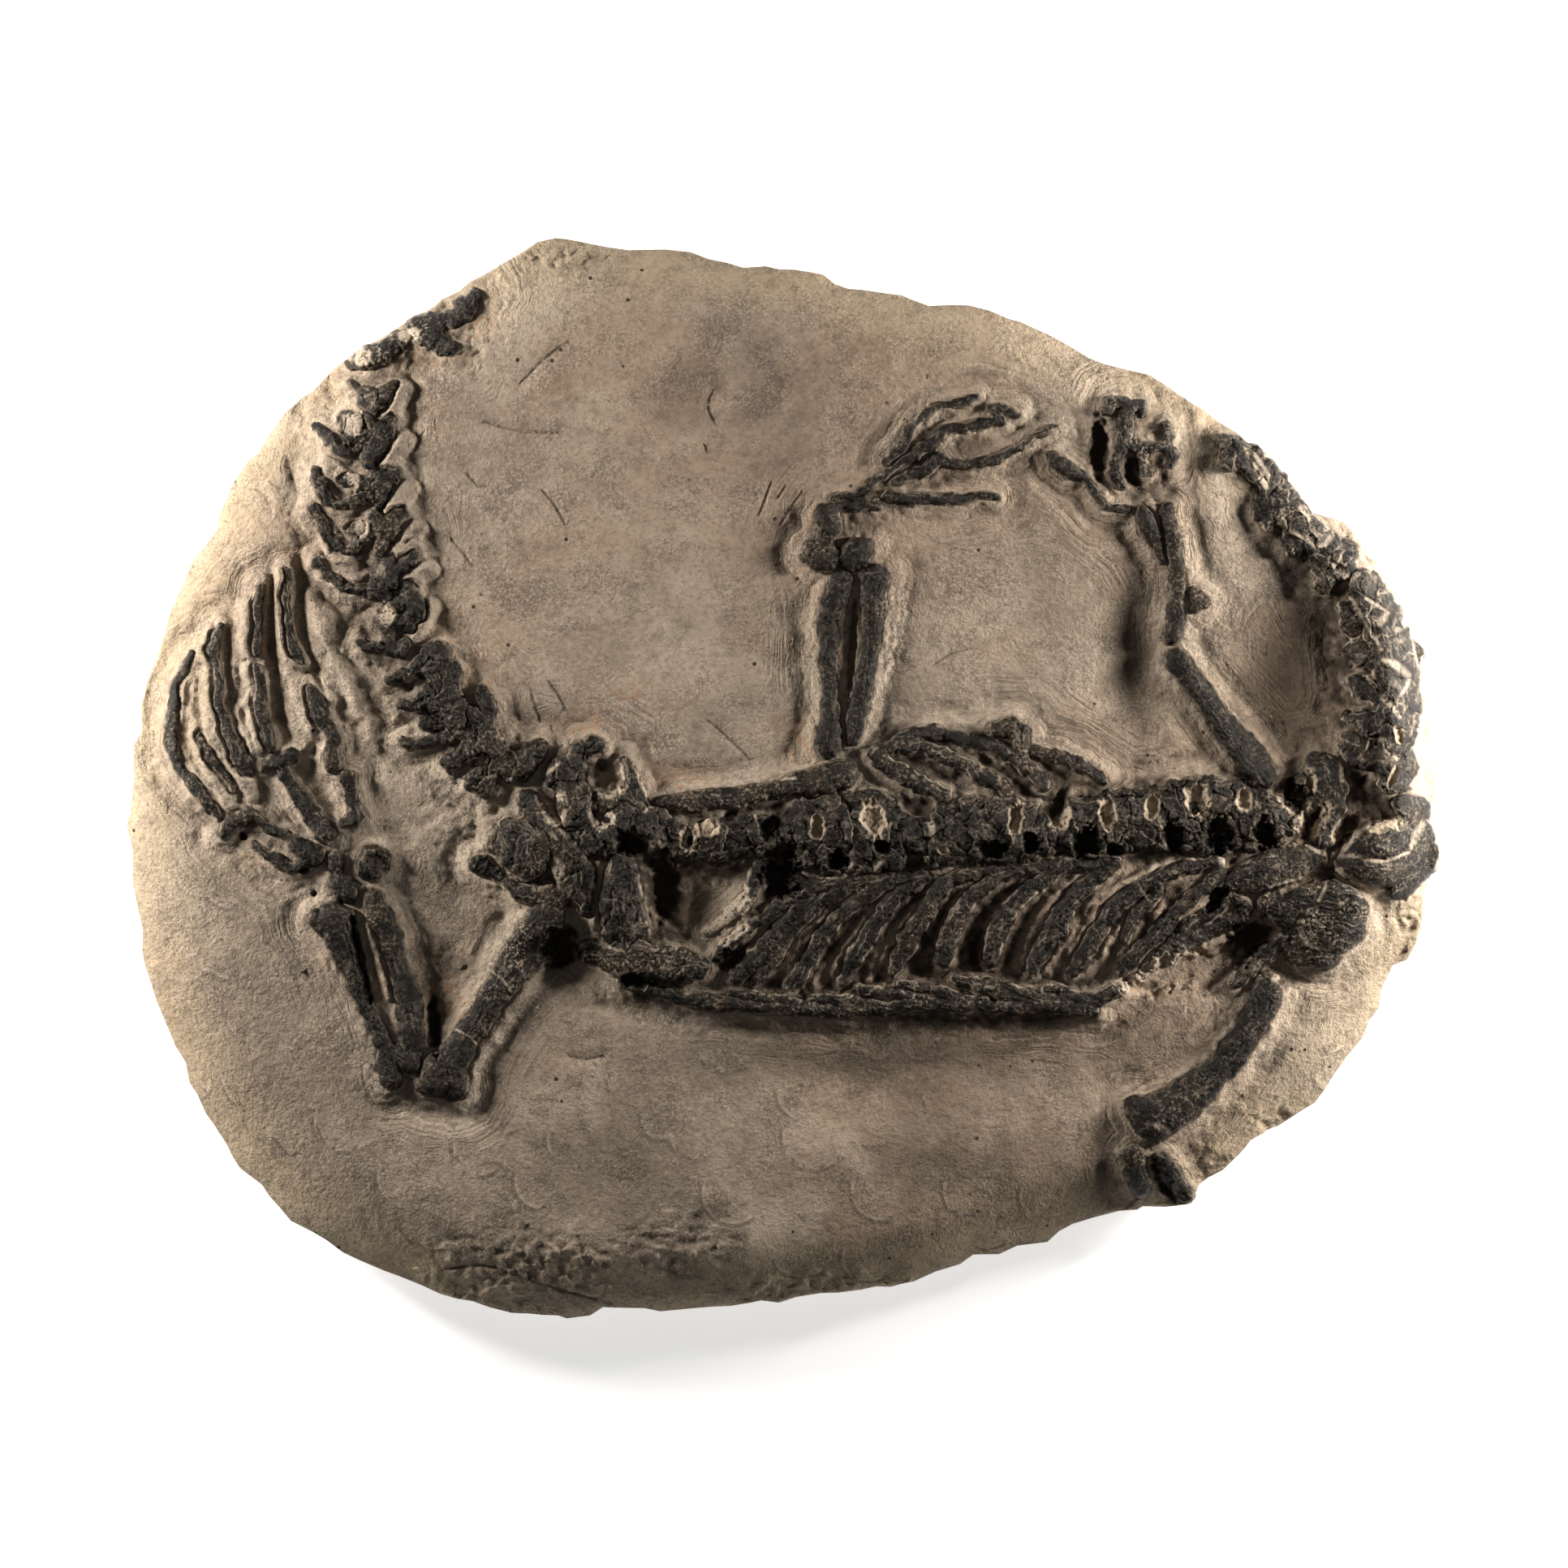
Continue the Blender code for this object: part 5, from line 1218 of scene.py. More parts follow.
def bone_detail(grid):
    """The bumps that all bones share, and how near each place is to a crease between two facets."""
    x = grid.x + 5 * grid.waver_x
    y = grid.y + 5 * grid.waver_y
    broad, broad_border = facets(x / 30, y / 30, seed=41)
    small, small_border = facets(x / 15, y / 15, seed=43)
    crease = np.maximum(1 - smoothstep(broad_border / 0.12), 0.4 * (1 - smoothstep(small_border / 0.16)))
    return broad + 0.35 * small, crease


def hollow_fields(grid):
    """How deep the hollows are, in metres, and how much dark, brown and pale stone lies in them: the dark is
    painted shade, and the pale ring round each hollow is painted light.
    """
    depth = grid.field()
    fills = {name: grid.field() for name in ("dark", "brown", "pale")}
    waver = 0.34 * grid.noise(12, seed=131)
    patchy = smoothstep(0.45 + 1.5 * grid.noise(12, seed=141, octaves=2))
    for x, y, wide, tall, turn, deep, fill in HOLLOWS:
        part = grid.around((x, y), (x, y), max(wide, tall) * 1.6 + 2)
        angle = math.radians(turn)
        px, py = grid.x[part] - x, grid.y[part] - y
        u = (px * math.cos(angle) + py * math.sin(angle)) / wide
        v = (-px * math.sin(angle) + py * math.cos(angle)) / tall
        q = np.hypot(u, v) + waver[part]
        lip = 0.3 * MM * patchy[part] * np.exp(-(((q - 1.2) / 0.2) ** 2))
        sunk = deep * MM * (1 - smoothstep((q - 0.5) / 0.6)) - lip
        depth[part] = np.where(np.abs(sunk) > np.abs(depth[part]), sunk, depth[part])
        # Inside, the dark fill is painted shade; brown and pale are the stone's own colour.
        inside = 1 - smoothstep((q - 0.85) / 0.25)
        for name, field in fills.items():
            field[part] = field[part] * (1 - inside) + (inside if name == fill else 0)
        # The pale ring round the hollow is painted light on its rim.
        wall = np.exp(-(((q - 0.95) / 0.16) ** 2)) * patchy[part]
        share = 0.35 if fill == "dark" else 0.45
        fills["pale"][part] = np.maximum(fills["pale"][part], share * wall)
    return depth, fills


def mass_field(grid):
    """How much dark stone sticks to the bones, partly painted shade between them, from 0 to 1."""
    mass = grid.field()
    for strength, stroke in DARK_MASSES:
        grid.stamp(mass, stroke, lambda u: strength * (1 - smoothstep((u - 0.55) / 0.45)))
    return np.clip(mass * (1.15 + 0.9 * grid.noise(14, seed=151, octaves=4)), 0, 1)


def ridge_field(grid, rows, power=1.0):
    """Ridges or grooves, in mm, from rows of a height and a stroke."""
    field = grid.field()
    for rise, stroke in rows:
        grid.stamp(field, stroke, lambda u: rise * np.maximum(0.0, 1 - u * u) ** power, RIDGE_WIDENING)
    return field


def stone_field(grid, base, distance, lift, mass, fills):
    """The worked stone's top, the fields that colour it, and the distance that sets how fine its mesh is."""
    x, y = grid.x, grid.y
    near = np.maximum(distance, 0.0)
    wander = grid.noise(30, seed=61)
    uneven = np.clip(0.85 + 0.6 * grid.noise(90, seed=65, octaves=2), 0.4, 1.3)
    lumps = grid.noise(12, seed=81, octaves=4)
    beside = np.exp(-((near / 40.0) ** 2))

    strength = grid.field(1.0)
    for cx, cy, wide, tall, more in CHANNEL_STRENGTH:
        strength += more * np.exp(-(((x - cx) / wide) ** 2) - ((y - cy) / tall) ** 2)
    reach = PEDESTAL_REACH * (1 + 1.6 * np.clip(1 - strength, 0, 1))
    pedestal = (lift - PEDESTAL_SHORT) * np.exp(-((near / reach) ** 2))
    in_channel = np.exp(-(((near + 3 * wander - CHANNEL_AT) / CHANNEL_WIDTH) ** 2))
    channel = CHANNEL_DEPTH * strength * uneven * in_channel
    here = smoothstep(0.5 + 1.5 * grid.noise(45, seed=95, octaves=1))
    worked = np.sin(near / 1.7 + 4 * wander) * beside * here
    height = base + pedestal - channel * (1 + 0.2 * wander) + SWELL * MM * grid.noise(120, seed=71)
    height += (LUMPS + LUMPS_BESIDE * beside + LUMPS_IN_DARK * mass) * MM * lumps + TOOL_MARKS * MM * worked

    ridges = ridge_field(grid, STONE_RIDGES, 0.8)
    grooves = ridge_field(grid, STONE_GROOVES)
    height += MM * (ridges - grooves) * smoothstep((near - 1.0) / 5.0)
    height -= DIVE * smoothstep((-distance - 1.0) / 6.0)

    inward = even_radius(np.arctan2(CENTRE_Y - y, x - CENTRE_X)) / PIXEL - np.hypot(x - CENTRE_X, y - CENTRE_Y)
    rough_rim = 1 - smoothstep((inward - 6) / 40)
    rough_rim = rough_rim * smoothstep(0.55 + 1.1 * grid.noise(130, seed=193, octaves=1))
    height += MM * rough_rim * (CHIPS * facets(x / 26, y / 30, seed=191)[0] - CHIPS_SUNK)
    rough = grid.spots(ROUGH)
    height += MM * rough * (FLAKES * facets(x / 13, y / 9, seed=197)[0] + BROKEN_LUMPS * lumps)
    scratches = grid.field()
    for stroke in SCRATCHES:
        grid.stamp(scratches, stroke, dome)
    height -= SCRATCH_DEPTH * MM * scratches

    crest = np.clip(ridges / 1.5, 0, 1)
    # The stain mark: dark stone on the bones, partly painted shade, the brown in hollows, and painted shade in
    # the dark hollows.
    stain_and_painted_shade = np.clip(mass * (1 - crest) + fills["brown"] * 0.3 + fills["dark"] - fills["pale"], 0, 1)
    line = smoothstep(0.5 + 1.5 * grid.noise(23, seed=97, octaves=1))
    # Grey stains, and painted shade in the hollows and below raised parts.
    smoke_and_painted_shade = grid.spots(SMOKE_AND_PAINTED_SHADE)
    beside_bones = 0.55 * np.exp(-((near / 16.0) ** 2)) * (1 - mass) * uneven
    patches = smoothstep(0.6 + 1.1 * grid.noise(24, seed=161, octaves=4))
    marks = {
        # The fresh mark: paler stone beside the bones and in spots, partly painted light.
        "fresh_and_painted_light": np.clip(beside_bones * (1 - grid.spots(DULL)) + grid.spots(FRESH_AND_PAINTED_LIGHT), 0, 1),
        "line": np.exp(-(((near - 2.0) / 2.2) ** 2)) * line,
        "rust": grid.spots(RUSTY),
        "stain_and_painted_shade": np.maximum(stain_and_painted_shade, 0.5 * scratches),
        # The rim mark: a tan band round the rim and the tanned spots, lighter than the stone; on the lit rims it
        # is partly painted light.
        "rim": np.maximum(1 - smoothstep((inward - 18 + 22 * wander) / 60), grid.spots(TANNED_AND_PAINTED_LIGHT)),
        "smoke_and_painted_shade": smoke_and_painted_shade * (patches + (1 - patches) * smoke_and_painted_shade**2),
        "tooled": np.maximum(smoothstep((y - 1230) / 120), grid.spots(TOOLED)),
        "near": np.minimum(near, 100.0),
    }
    return height, marks, np.where((scratches > 0) | (rough > 0.25), 0.0, distance)


def fast_mesh(name, verts, quads, extra=()):
    """A mesh from an array of points and an array of quads, and lists of larger faces."""
    mesh = bpy.data.meshes.new(name)
    loops = [quads.reshape(-1)] + [np.array(face) for face in extra]
    counts = np.concatenate([np.full(len(quads), 4), np.array([len(face) for face in extra], dtype=int)])
    starts = np.concatenate([[0], np.cumsum(counts)[:-1]])
    corners = np.concatenate(loops)
    mesh.vertices.add(len(verts))
    mesh.vertices.foreach_set("co", np.ascontiguousarray(verts, dtype=np.float32).reshape(-1))
    mesh.loops.add(len(corners))
    mesh.loops.foreach_set("vertex_index", corners.astype(np.int32))
    mesh.polygons.add(len(counts))
    mesh.polygons.foreach_set("loop_start", starts.astype(np.int32))
    mesh.polygons.foreach_set("loop_total", counts.astype(np.int32))
    mesh.update(calc_edges=True)
    obj = bpy.data.objects.new(name, mesh)
    bpy.context.scene.collection.objects.link(obj)
    return obj


def decimate(obj, ratio, group=""):
    """Collapses the mesh to this share of its triangles, most of all in the group, and shades it smooth."""
    modifier = obj.modifiers.new("fewer faces", "DECIMATE")
    modifier.ratio = ratio
    modifier.vertex_group = group
    modifier.use_collapse_triangulate = True
    graph = bpy.context.evaluated_depsgraph_get()
    mesh = bpy.data.meshes.new_from_object(obj.evaluated_get(graph))
    obj.modifiers.clear()
    obj.data = mesh
    mesh.shade_smooth()


def paint(obj, fields):
    """Gives each of the mesh's points the fields' values at its place."""
    points = np.empty(len(obj.data.vertices) * 3, np.float32)
    obj.data.vertices.foreach_get("co", points)
    x, y = points[0::3] / PIXEL + CENTRE_X, CENTRE_Y - points[1::3] / PIXEL
    for name, field in fields.items():
        attribute = obj.data.attributes.new(name, "FLOAT", "POINT")
        attribute.data.foreach_set("value", np.ascontiguousarray(sample(field, x, y), dtype=np.float32))


def side_ring(rim, turn, size, drop, rough):
    """A ring of the slab's side, this share of the way from its edge down to the underside's edge."""
    scale = size + SIDE_ROUGHNESS * rough * layered_noise(turn * 26, np.full_like(turn, drop * 9.0), seed=101)
    z = rim[:, 2] + (UNDERSIDE_RISE - rim[:, 2]) * drop
    return np.stack([rim[:, 0] * scale, rim[:, 1] * scale, z], axis=-1)


def under_ring(rim, turn, fraction):
    """A ring of the slab's underside, this share of the way out to its edge."""
    share = (fraction - UNDERSIDE_START) / (1 - UNDERSIDE_START)
    z = np.full(len(rim), UNDERSIDE_RISE * share * share * (3 - 2 * share))
    if fraction > UNDERSIDE_START:
        z = z + UNDERSIDE_BUMPS * (1 + gradient_noise(turn * 12, np.full_like(turn, fraction * 30), seed=111))
    return np.stack([rim[:, 0] * fraction, rim[:, 1] * fraction, z], axis=-1)


def stone_piece(height, distance):
    """The slab as one closed solid: its top from the field, a rough side, and a flat underside. It keeps the
    most triangles where the distance is small."""
    count = SLAB_GRID
    axis = np.linspace(-1, 1, count)
    a, b = np.meshgrid(axis, axis)
    wide = np.abs(a) > np.abs(b)
    radius = np.where(wide, a, b)
    with np.errstate(divide="ignore", invalid="ignore"):
        angle = np.where(wide, (math.pi / 4) * b / a, math.pi / 2 - (math.pi / 4) * a / b)
    angle = np.nan_to_num(angle)
    turn = np.arctan2(radius * np.sin(angle), radius * np.cos(angle))
    reach = np.abs(radius) * edge_radius(turn) * rim_waver(turn)
    x, y = reach * np.cos(turn), reach * np.sin(turn)
    px, py = x / PIXEL + CENTRE_X, CENTRE_Y - y / PIXEL
    top = np.stack([x, y, sample(height, px, py)], axis=-1).reshape(-1, 3)
    index = np.arange(count * count).reshape(count, count)
    quads = np.stack([index[:-1, :-1], index[:-1, 1:], index[1:, 1:], index[1:, :-1]], axis=-1).reshape(-1, 4)

    previous = np.concatenate([index[0, :-1], index[:-1, -1], index[-1, :0:-1], index[:0:-1, 0]])
    rim = top[previous]
    turn = np.arctan2(rim[:, 1], rim[:, 0])
    rings = [side_ring(rim, turn, *row) for row in SIDE_RINGS]
    rings += [under_ring(rim, turn, fraction) for fraction in UNDER_RINGS]
    faces = [quads]
    start = len(top)
    for ring in rings:
        current = np.arange(start, start + len(ring))
        corners = [previous, np.roll(previous, -1), np.roll(current, -1), current]
        faces.append(np.stack(corners, axis=-1)[:, ::-1])
        previous = current
        start += len(ring)
    obj = fast_mesh("stone_matrix", np.concatenate([top] + rings), np.concatenate(faces), [previous[::-1]])

    away = np.full(start, 99.0)
    away[:len(top)] = sample(distance, px, py).reshape(-1)
    detailed = (away >= DETAILED[0]) & (away <= DETAILED[1])
    group = obj.vertex_groups.new(name="open_stone")
    group.add(np.nonzero(~detailed)[0].tolist(), OPEN_STONE_WEIGHT, "REPLACE")
    group.add(np.nonzero(detailed)[0].tolist(), 1 - OPEN_STONE_WEIGHT, "REPLACE")
    triangles = 2 * sum(len(f) for f in faces)
    decimate(obj, min(1.0, SLAB_TRIANGLES / triangles), "open_stone")
    return obj


def bone_mesh(grid, bone, top, floor):
    """The bone as a closed solid: its top from the field, its flanks sunk into the stone."""
    inside = bone.distance < SKIRT
    cell = inside[:-1, :-1] & inside[1:, :-1] & inside[:-1, 1:] & inside[1:, 1:]
    used = np.zeros(inside.shape, bool)
    for part in (used[:-1, :-1], used[1:, :-1], used[:-1, 1:], used[1:, 1:]):
        part |= cell
    index = np.full(inside.shape, -1)
    index[used] = np.arange(used.sum())
    x, y = place(grid.x[bone.window][used], grid.y[bone.window][used])
    upper = np.stack([x, y, top[used]], axis=1)
    lower = np.stack([x, y, floor[used]], axis=1)
    r, c = np.nonzero(cell)
    a, b, d, e = index[r, c], index[r, c + 1], index[r + 1, c + 1], index[r + 1, c]
    count = len(x)
    faces = [np.stack([a, e, d, b], axis=1), np.stack([a, b, d, e], axis=1) + count]
    padded = np.pad(cell, 1)
    rows, columns = cell.shape
    for (down, right), first, second in (
        ((-1, 0), (0, 0), (0, 1)),
        ((1, 0), (1, 1), (1, 0)),
        ((0, -1), (1, 0), (0, 0)),
        ((0, 1), (0, 1), (1, 1)),
    ):
        neighbour = padded[1 + down:1 + down + rows, 1 + right:1 + right + columns]
        r, c = np.nonzero(cell & ~neighbour)
        p = index[r + first[0], c + first[1]]
        q = index[r + second[0], c + second[1]]
        faces.append(np.stack([p, q, q + count, p + count], axis=1))
    obj = fast_mesh(bone.name + "_fossil", np.concatenate([upper, lower]), np.concatenate(faces))
    decimate(obj, BONE_KEEP)
    return obj


class BoneFields:
    """The fields that all bones share: the stone under them, their bumps and what lies on them."""

    def __init__(self, grid, base, hollow, fills):
        self.base = base
        self.hollow = hollow
        self.fills = fills
        self.bumps, self.crease = bone_detail(grid)
        self.grain = grid.noise(3.1, seed=31, octaves=2)
        self.patchy = smoothstep(0.5 + 1.3 * grid.noise(20, seed=171))
        self.seams = grid.field()
        for stroke in SEAMS:
            grid.stamp(self.seams, stroke, lambda u: np.minimum(1.0, 1.2 * dome(u)), SEAM_WIDENING)
        # The pale includes each hollow's ring, painted light on its rim.
        self.pale = np.maximum(self.seams * (0.45 + 0.5 * self.patchy), fills["pale"])
        self.worn = (0.2 + grid.spots(WORN)) * smoothstep(0.6 + 1.2 * grid.noise(28, seed=181))


def bone_piece(grid, bone, shared):
    """The bone's mesh, painted with where its skin is pale, brown and worn."""
    window = bone.window
    thin = np.clip(bone.radius / FULL_WIDTH, 0.35, 1.0)
    streak = layered_noise(bone.across / 3.0, bone.along / 34.0, seed=51)
    rugged = bone.rugged * thin * (1 - CALMING * bone.calm)
    crease = shared.crease[window]
    top = shared.base[window] + bone.height + rugged * MM * (FACETS * shared.bumps[window] - CREASES * crease)
    top += MM * (STREAKS * thin * streak + GRAIN * shared.grain[window])
    top -= shared.hollow[window] * np.clip(1 + bone.distance / -3, 0, 1) + SUNK_SEAMS * MM * shared.seams[window]
    piece = bone_mesh(grid, bone, top, shared.base[window] - BONE_DEPTH)

    outline = smoothstep((bone.distance + 2.2) / 1.8)
    grooves = 0.6 * smoothstep((streak - 0.45) / 0.2)
    crust = grid.field()
    crusted = np.maximum(np.maximum(rugged * crease, outline), grooves)
    crust[window] = bone.crusty * shared.patchy[window] * crusted
    # Painted shade: the dark hollows take no pale crust.
    crust = np.clip(np.maximum(crust, shared.pale) - shared.fills["dark"], 0, 1)
    paint(piece, {"pale": crust, "brown": shared.fills["brown"], "worn": shared.worn})
    return piece


class Material:
    """A material's nodes, made by short calls that take and return sockets."""

    def __init__(self, name):
        self.made = bpy.data.materials.new(name)
        self.made.use_nodes = True
        self.nodes = self.made.node_tree.nodes
        self.links = self.made.node_tree.links
        self.surface = self.nodes["Principled BSDF"]
        self.places = self.nodes.new("ShaderNodeTexCoord").outputs["Object"]

    def put(self, socket, value):
        """Links a socket to another one, or gives it a plain value."""
        if isinstance(value, bpy.types.NodeSocket):
            self.links.new(value, socket)
        else:
            socket.default_value = value

    def node(self, kind, inputs, **settings):
        made = self.nodes.new("ShaderNode" + kind)
        for name, value in settings.items():
            setattr(made, name, value)
        for name, value in inputs.items():
            self.put(made.inputs[name], value)
        return made

    def noise(self, scale, detail, rough):
        inputs = {"Vector": self.places, "Scale": scale, "Detail": detail, "Roughness": rough}
        return self.node("TexNoise", inputs).outputs["Fac"]

    def cells(self, scale, feature="F1"):
        return self.node("TexVoronoi", {"Vector": self.places, "Scale": scale}, feature=feature)

    def attribute(self, name):
        return self.node("Attribute", {}, attribute_name=name).outputs["Fac"]

    def ramp(self, value, low, high, share=1.0):
        """0 below low, and the share above high."""
        inputs = {"Value": value, "From Min": low, "From Max": high, "To Max": share}
        return self.node("MapRange", inputs, interpolation_type="SMOOTHSTEP").outputs["Result"]

    def times(self, a, b):
        return self.node("Math", {0: a, 1: b}, operation="MULTIPLY").outputs[0]

    def mark(self, name, share):
        return self.times(self.attribute(name), share)

    def mix(self, factor, a, b):
        """The colour a where the factor is 0 and b where it is 1."""
        return self.node("Mix", {0: factor, 6: a, 7: b}, data_type="RGBA").outputs[2]

    def arcs(self, radius, width):
        """The lower half of a ring round the middle of each cell."""
        cell = self.cells(ARC_CELLS)
        away = self.node("VectorMath", {0: self.places, 1: cell.outputs["Position"]}, operation="SUBTRACT")
        side = self.node("VectorMath", {0: away.outputs["Vector"], 1: ARC_SIDE}, operation="DOT_PRODUCT")
        ring = self.node("Math", {0: cell.outputs["Distance"], 1: radius, 2: width}, operation="COMPARE")
        return self.times(ring.outputs[0], self.ramp(side.outputs["Value"], 1.2 * MM, 4 * MM))

    def carved_lines(self):
        """Fine uneven lines that run beside the bones, and how far they show: broken up by a broad noise."""
        near = self.attribute("near")
        along = self.node("VectorMath", {0: self.places, "Scale": LINE_LENGTH}, operation="SCALE")
        across = self.node("CombineXYZ", {"Z": self.times(near, LINE_COUNT)})
        total = self.node("VectorMath", {0: along.outputs["Vector"], 1: across.outputs["Vector"]})
        lines = self.node("TexNoise", {"Vector": total.outputs["Vector"], "Scale": 1.0, "Detail": 2.0})
        beside = self.times(self.ramp(near, 2.0, 8.0), self.ramp(near, 95.0, 50.0))
        return lines.outputs["Fac"], self.times(beside, self.ramp(self.noise(45, 3, 0.6), 0.44, 0.58))

    def bump(self, layers):
        """Bumps of several sizes, one after the other: (height value, distance in metres, strength)."""
        last = None
        for height, distance, strength in layers:
            inputs = {"Height": height, "Distance": distance, "Strength": strength}
            if last is not None:
                inputs["Normal"] = last
            last = self.node("Bump", inputs).outputs["Normal"]
        self.put(self.surface.inputs["Normal"], last)

    def finish(self, colour, roughness, specular):
        self.put(self.surface.inputs["Base Color"], colour)
        self.put(self.surface.inputs["Roughness"], roughness)
        self.put(self.surface.inputs["Specular IOR Level"], specular)
        return self.made


def stone_material():
    """Pale stone: broad warm and grey patches, mottle, grit and dust, and the marks painted on the mesh, some of
    them painted shade and painted light.
    """
    m = Material("matrix_stone")
    warm = m.noise(11, 5, 0.6)
    broad = m.noise(20, 6, 0.6)
    spots = m.noise(70, 8, 0.7)
    mottle = m.noise(230, 6, 0.7)
    grit = m.noise(700, 3, 0.7)
    dust = m.noise(1500, 2, 0.6)
    grainy = m.ramp(spots, 0.42, 0.56)
    pits = m.cells(150).outputs["Distance"]
    worked = m.times(m.ramp(spots, 0.45, 0.50), m.attribute("tooled"))
    arc = m.times(m.arcs(*ARC), worked)
    arc_shadow = m.times(m.times(m.arcs(*ARC_SHADOW), worked), 0.5)
    lines, lines_shown = m.carved_lines()

    colour = m.mix(m.ramp(broad, 0.40, 0.60), STONE_GREY, STONE_PALE)
    for factor, other in (
        (m.ramp(warm, 0.46, 0.60, 0.6), STONE_WARM),
        (m.ramp(spots, 0.53, 0.60, 0.42), STONE_SMOKE_AND_SHADE),
        # Tan, partly painted light on the lit rims.
        (m.mark("rim", 0.65), STONE_TAN),
        # Paler stone beside the bones and in spots, partly painted light.
        (m.mark("fresh_and_painted_light", 0.6), STONE_PALE),
        (m.ramp(mottle, 0.50, 0.64, 0.36), STONE_SMOKE_AND_SHADE),
        (m.ramp(mottle, 0.46, 0.34, 0.36), STONE_PALE),
        (m.ramp(grit, 0.50, 0.64, 0.32), STONE_SMOKE_AND_SHADE),
        (m.ramp(grit, 0.47, 0.33, 0.4), STONE_PALE),
        (m.times(m.ramp(dust, 0.51, 0.62, 0.40), grainy), STONE_SMOKE_AND_SHADE),
        (m.times(m.ramp(dust, 0.47, 0.38, 0.36), grainy), STONE_LIGHT),
        (m.times(m.attribute("rust"), m.ramp(grit, 0.50, 0.58)), STONE_RUST),
        (m.times(m.ramp(pits, 0.10, 0.07), m.ramp(broad, 0.51, 0.56)), STONE_UMBER),
        (m.times(arc, 0.6), STONE_PALE),
        (arc_shadow, STONE_SMOKE_AND_SHADE),
        # Painted shade and painted light: the dark and pale sides of the carved lines.
        (m.times(m.ramp(lines, 0.54, 0.64, 0.4), lines_shown), STONE_SMOKE_AND_SHADE),
        (m.times(m.ramp(lines, 0.46, 0.36, 0.3), lines_shown), STONE_PALE),
        # Painted shade in hollows and below raised parts, with grey stains.
        (m.mark("smoke_and_painted_shade", 0.85), STONE_PAINTED_SHADE),
        # Dark stone, and painted shade in the deep hollows and between the bones.
        (m.mark("stain_and_painted_shade", 0.95), STONE_UMBER),
        (m.mark("line", 0.5), STONE_PALE),
    ):
        colour = m.mix(factor, colour, other)
    m.bump((
        (spots, 4 * MM, 0.4),
        (mottle, 1.2 * MM, 0.6),
        (grit, 0.6 * MM, 0.8),
        (arc, 0.6 * MM, 0.9),
        (m.times(m.ramp(lines, 0.36, 0.64), lines_shown), 0.4 * MM, 0.6),
    ))
    return m.finish(colour, roughness=0.85, specular=0.25)


def bone_material():
    """Black bone turned to stone: grey and brown patches, pale flecks, and the marks painted on the mesh."""
    m = Material("bone_turned_to_stone")
    broad = m.noise(70, 6, 0.6)
    mid = m.noise(240, 6, 0.7)
    fine = m.noise(1000, 5, 0.75)
    crack = m.cells(520, "DISTANCE_TO_EDGE").outputs["Distance"]

    colour = m.mix(m.ramp(mid, 0.46, 0.60), BONE_BLACK, BONE_GREY)
    for factor, other in (
        (m.ramp(broad, 0.52, 0.60, 0.7), BONE_BROWN),
        (m.times(m.ramp(broad, 0.52, 0.64, 0.4), m.ramp(fine, 0.52, 0.62)), CRUST),
        (m.times(m.attribute("worn"), m.ramp(fine, 0.50, 0.62)), CRUST),
        (m.attribute("brown"), CRUST),
        (m.times(m.attribute("pale"), m.ramp(fine, 0.38, 0.46)), STONE_PALE),
    ):
        colour = m.mix(factor, colour, other)
    m.put(m.surface.inputs["Specular Tint"], BONE_SHINE)
    m.bump((
        (mid, 1.2 * MM, 0.28),
        (m.ramp(crack, 0.0, 0.10), 0.12 * MM, 0.5),
        (fine, 0.6 * MM, 0.6),
    ))
    return m.finish(colour, roughness=0.36, specular=0.16)


def floor_material():
    m = Material("pale_floor")
    m.put(m.surface.inputs["Base Color"], FLOOR_GREY)
    m.put(m.surface.inputs["Emission Color"], WHITE)
    m.put(m.surface.inputs["Emission Strength"], FLOOR_GLOW)
    return m.made


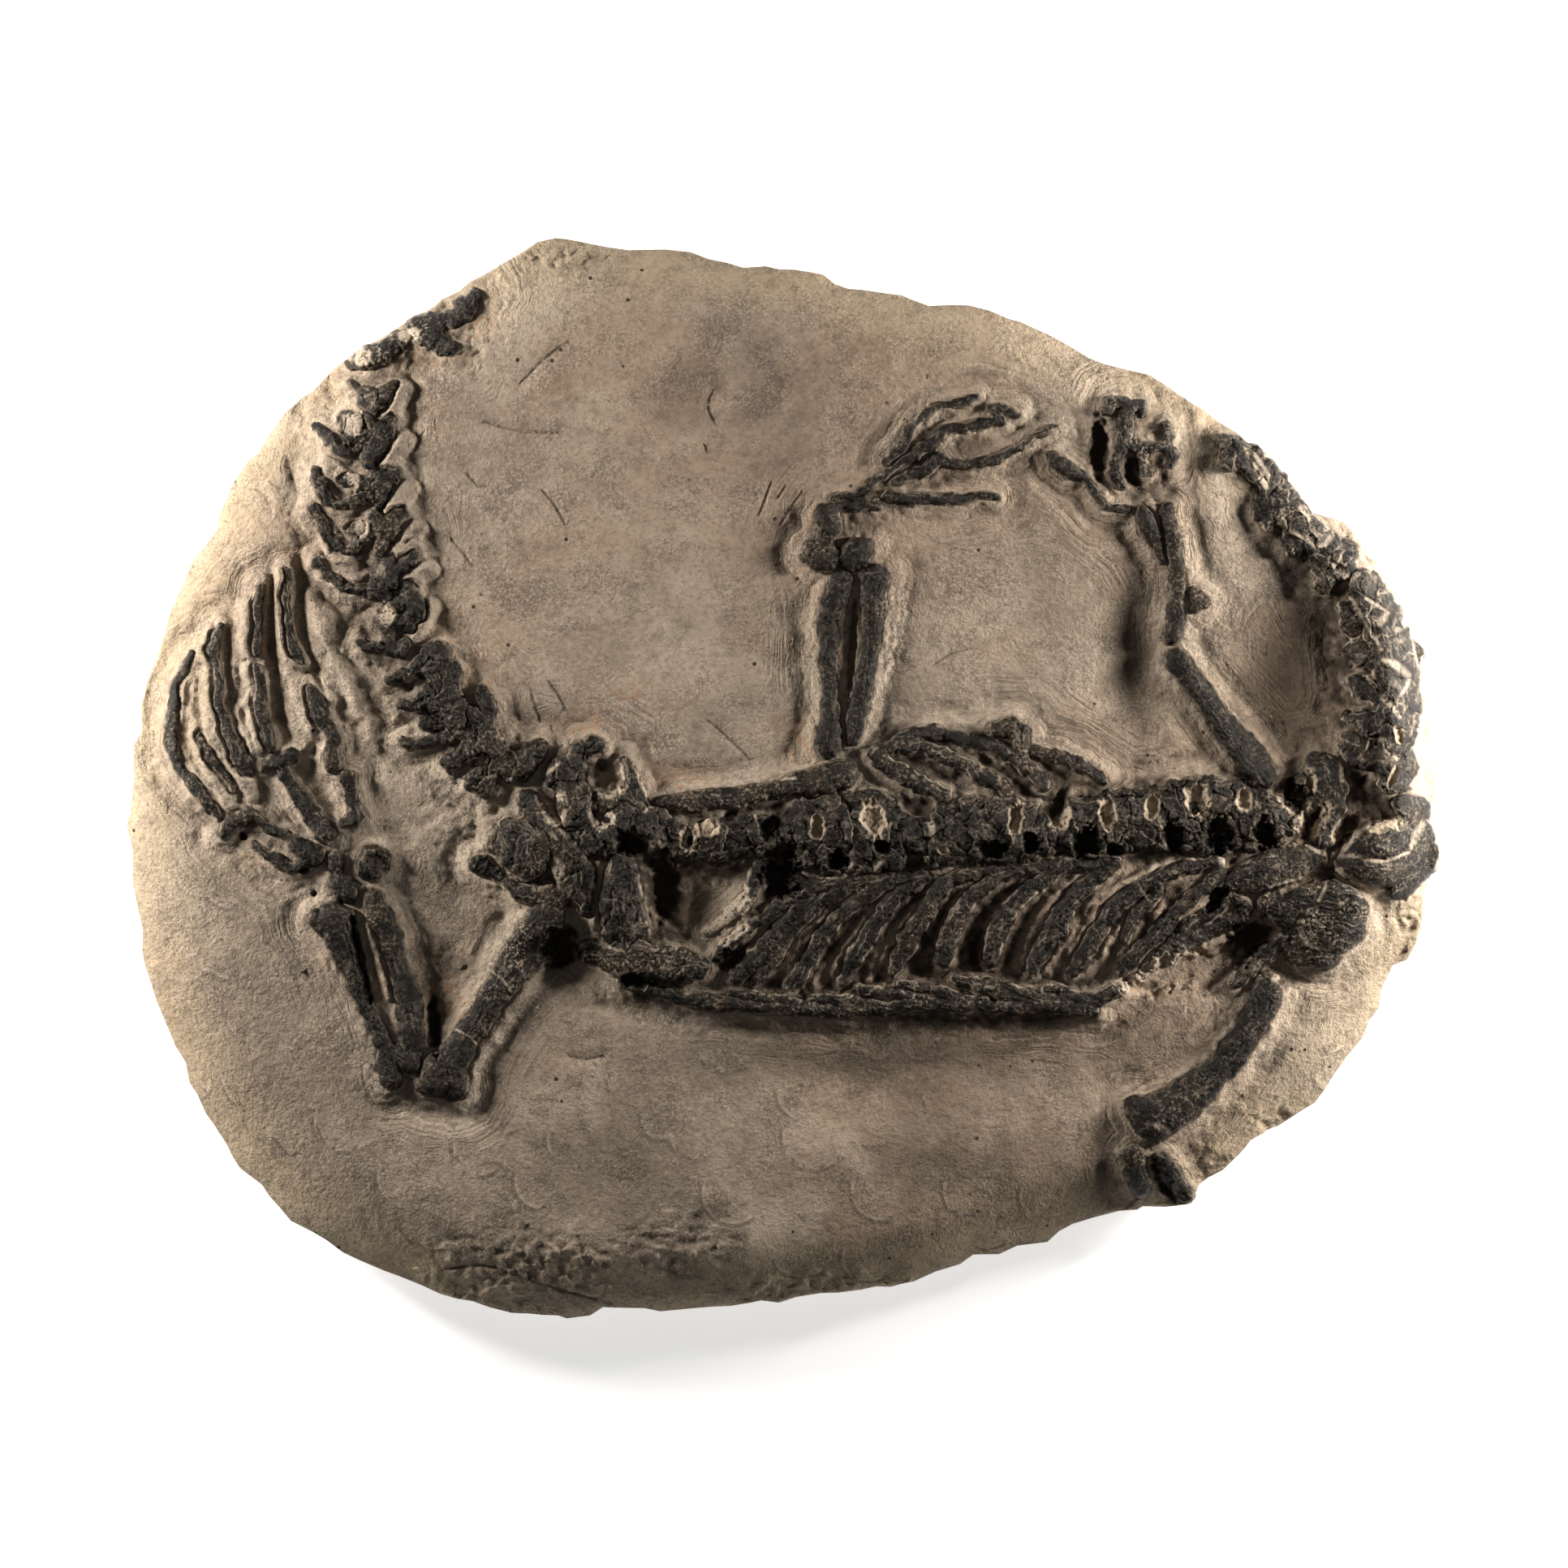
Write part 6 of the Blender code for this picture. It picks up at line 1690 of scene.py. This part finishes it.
def add_light(name, location, target, sides, power):
    data = bpy.data.lights.new(name, "AREA")
    data.shape = "RECTANGLE"
    data.size, data.size_y = sides
    data.energy = power
    data.color = LIGHT_COLOUR
    obj = bpy.data.objects.new(name, data)
    obj.location = location
    obj.rotation_euler = (Vector(target) - Vector(location)).to_track_quat("-Z", "Y").to_euler()
    bpy.context.scene.collection.objects.link(obj)


def add_floor():
    mesh = bpy.data.meshes.new("floor")
    signs = (-1, -1), (1, -1), (1, 1), (-1, 1)
    corners = [(x * FLOOR_REACH, y * FLOOR_REACH, FLOOR_HEIGHT) for x, y in signs]
    mesh.from_pydata(corners, [], [(0, 1, 2, 3)])
    mesh.materials.append(floor_material())
    floor = bpy.data.objects.new("floor", mesh)
    bpy.context.scene.collection.objects.link(floor)


def add_camera():
    data = bpy.data.cameras.new("camera")
    data.sensor_width = SENSOR
    data.lens = LENS
    camera = bpy.data.objects.new("camera", data)
    camera.location = (*place(PICTURE_MIDDLE, PICTURE_MIDDLE), FRAME_HEIGHT + FRAME_SPAN * LENS / SENSOR)
    bpy.context.scene.collection.objects.link(camera)
    bpy.context.scene.camera = camera


def light_and_camera():
    scene = bpy.context.scene
    scene.world = bpy.data.worlds.new("studio")
    scene.world.use_nodes = True
    background = scene.world.node_tree.nodes["Background"]
    background.inputs["Color"].default_value = WHITE
    background.inputs["Strength"].default_value = WORLD_STRENGTH
    for name, row in LIGHTS.items():
        add_light(name, *row)
    add_floor()
    add_camera()
    scene.view_settings.view_transform = "Standard"


def main():
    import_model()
    grid = Grid()
    base = top_height(*place(grid.x, grid.y)).astype(np.float32)
    hollow, fills = hollow_fields(grid)
    bones = build_bones(grid)
    distance, lift = around_bones(grid, bones)
    height, marks, closeness = stone_field(grid, base - hollow, distance, lift, mass_field(grid), fills)

    stone = stone_piece(height, closeness)
    paint(stone, marks)
    stone.data.materials.append(stone_material())
    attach(stone, "root")
    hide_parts("matrix_slab")

    shared = BoneFields(grid, base, hollow, fills)
    skin = bone_material()
    for bone in bones:
        piece = bone_piece(grid, bone, shared)
        piece.data.materials.append(skin)
        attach(piece, "root")
        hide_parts(bone.name)
    light_and_camera()


main()
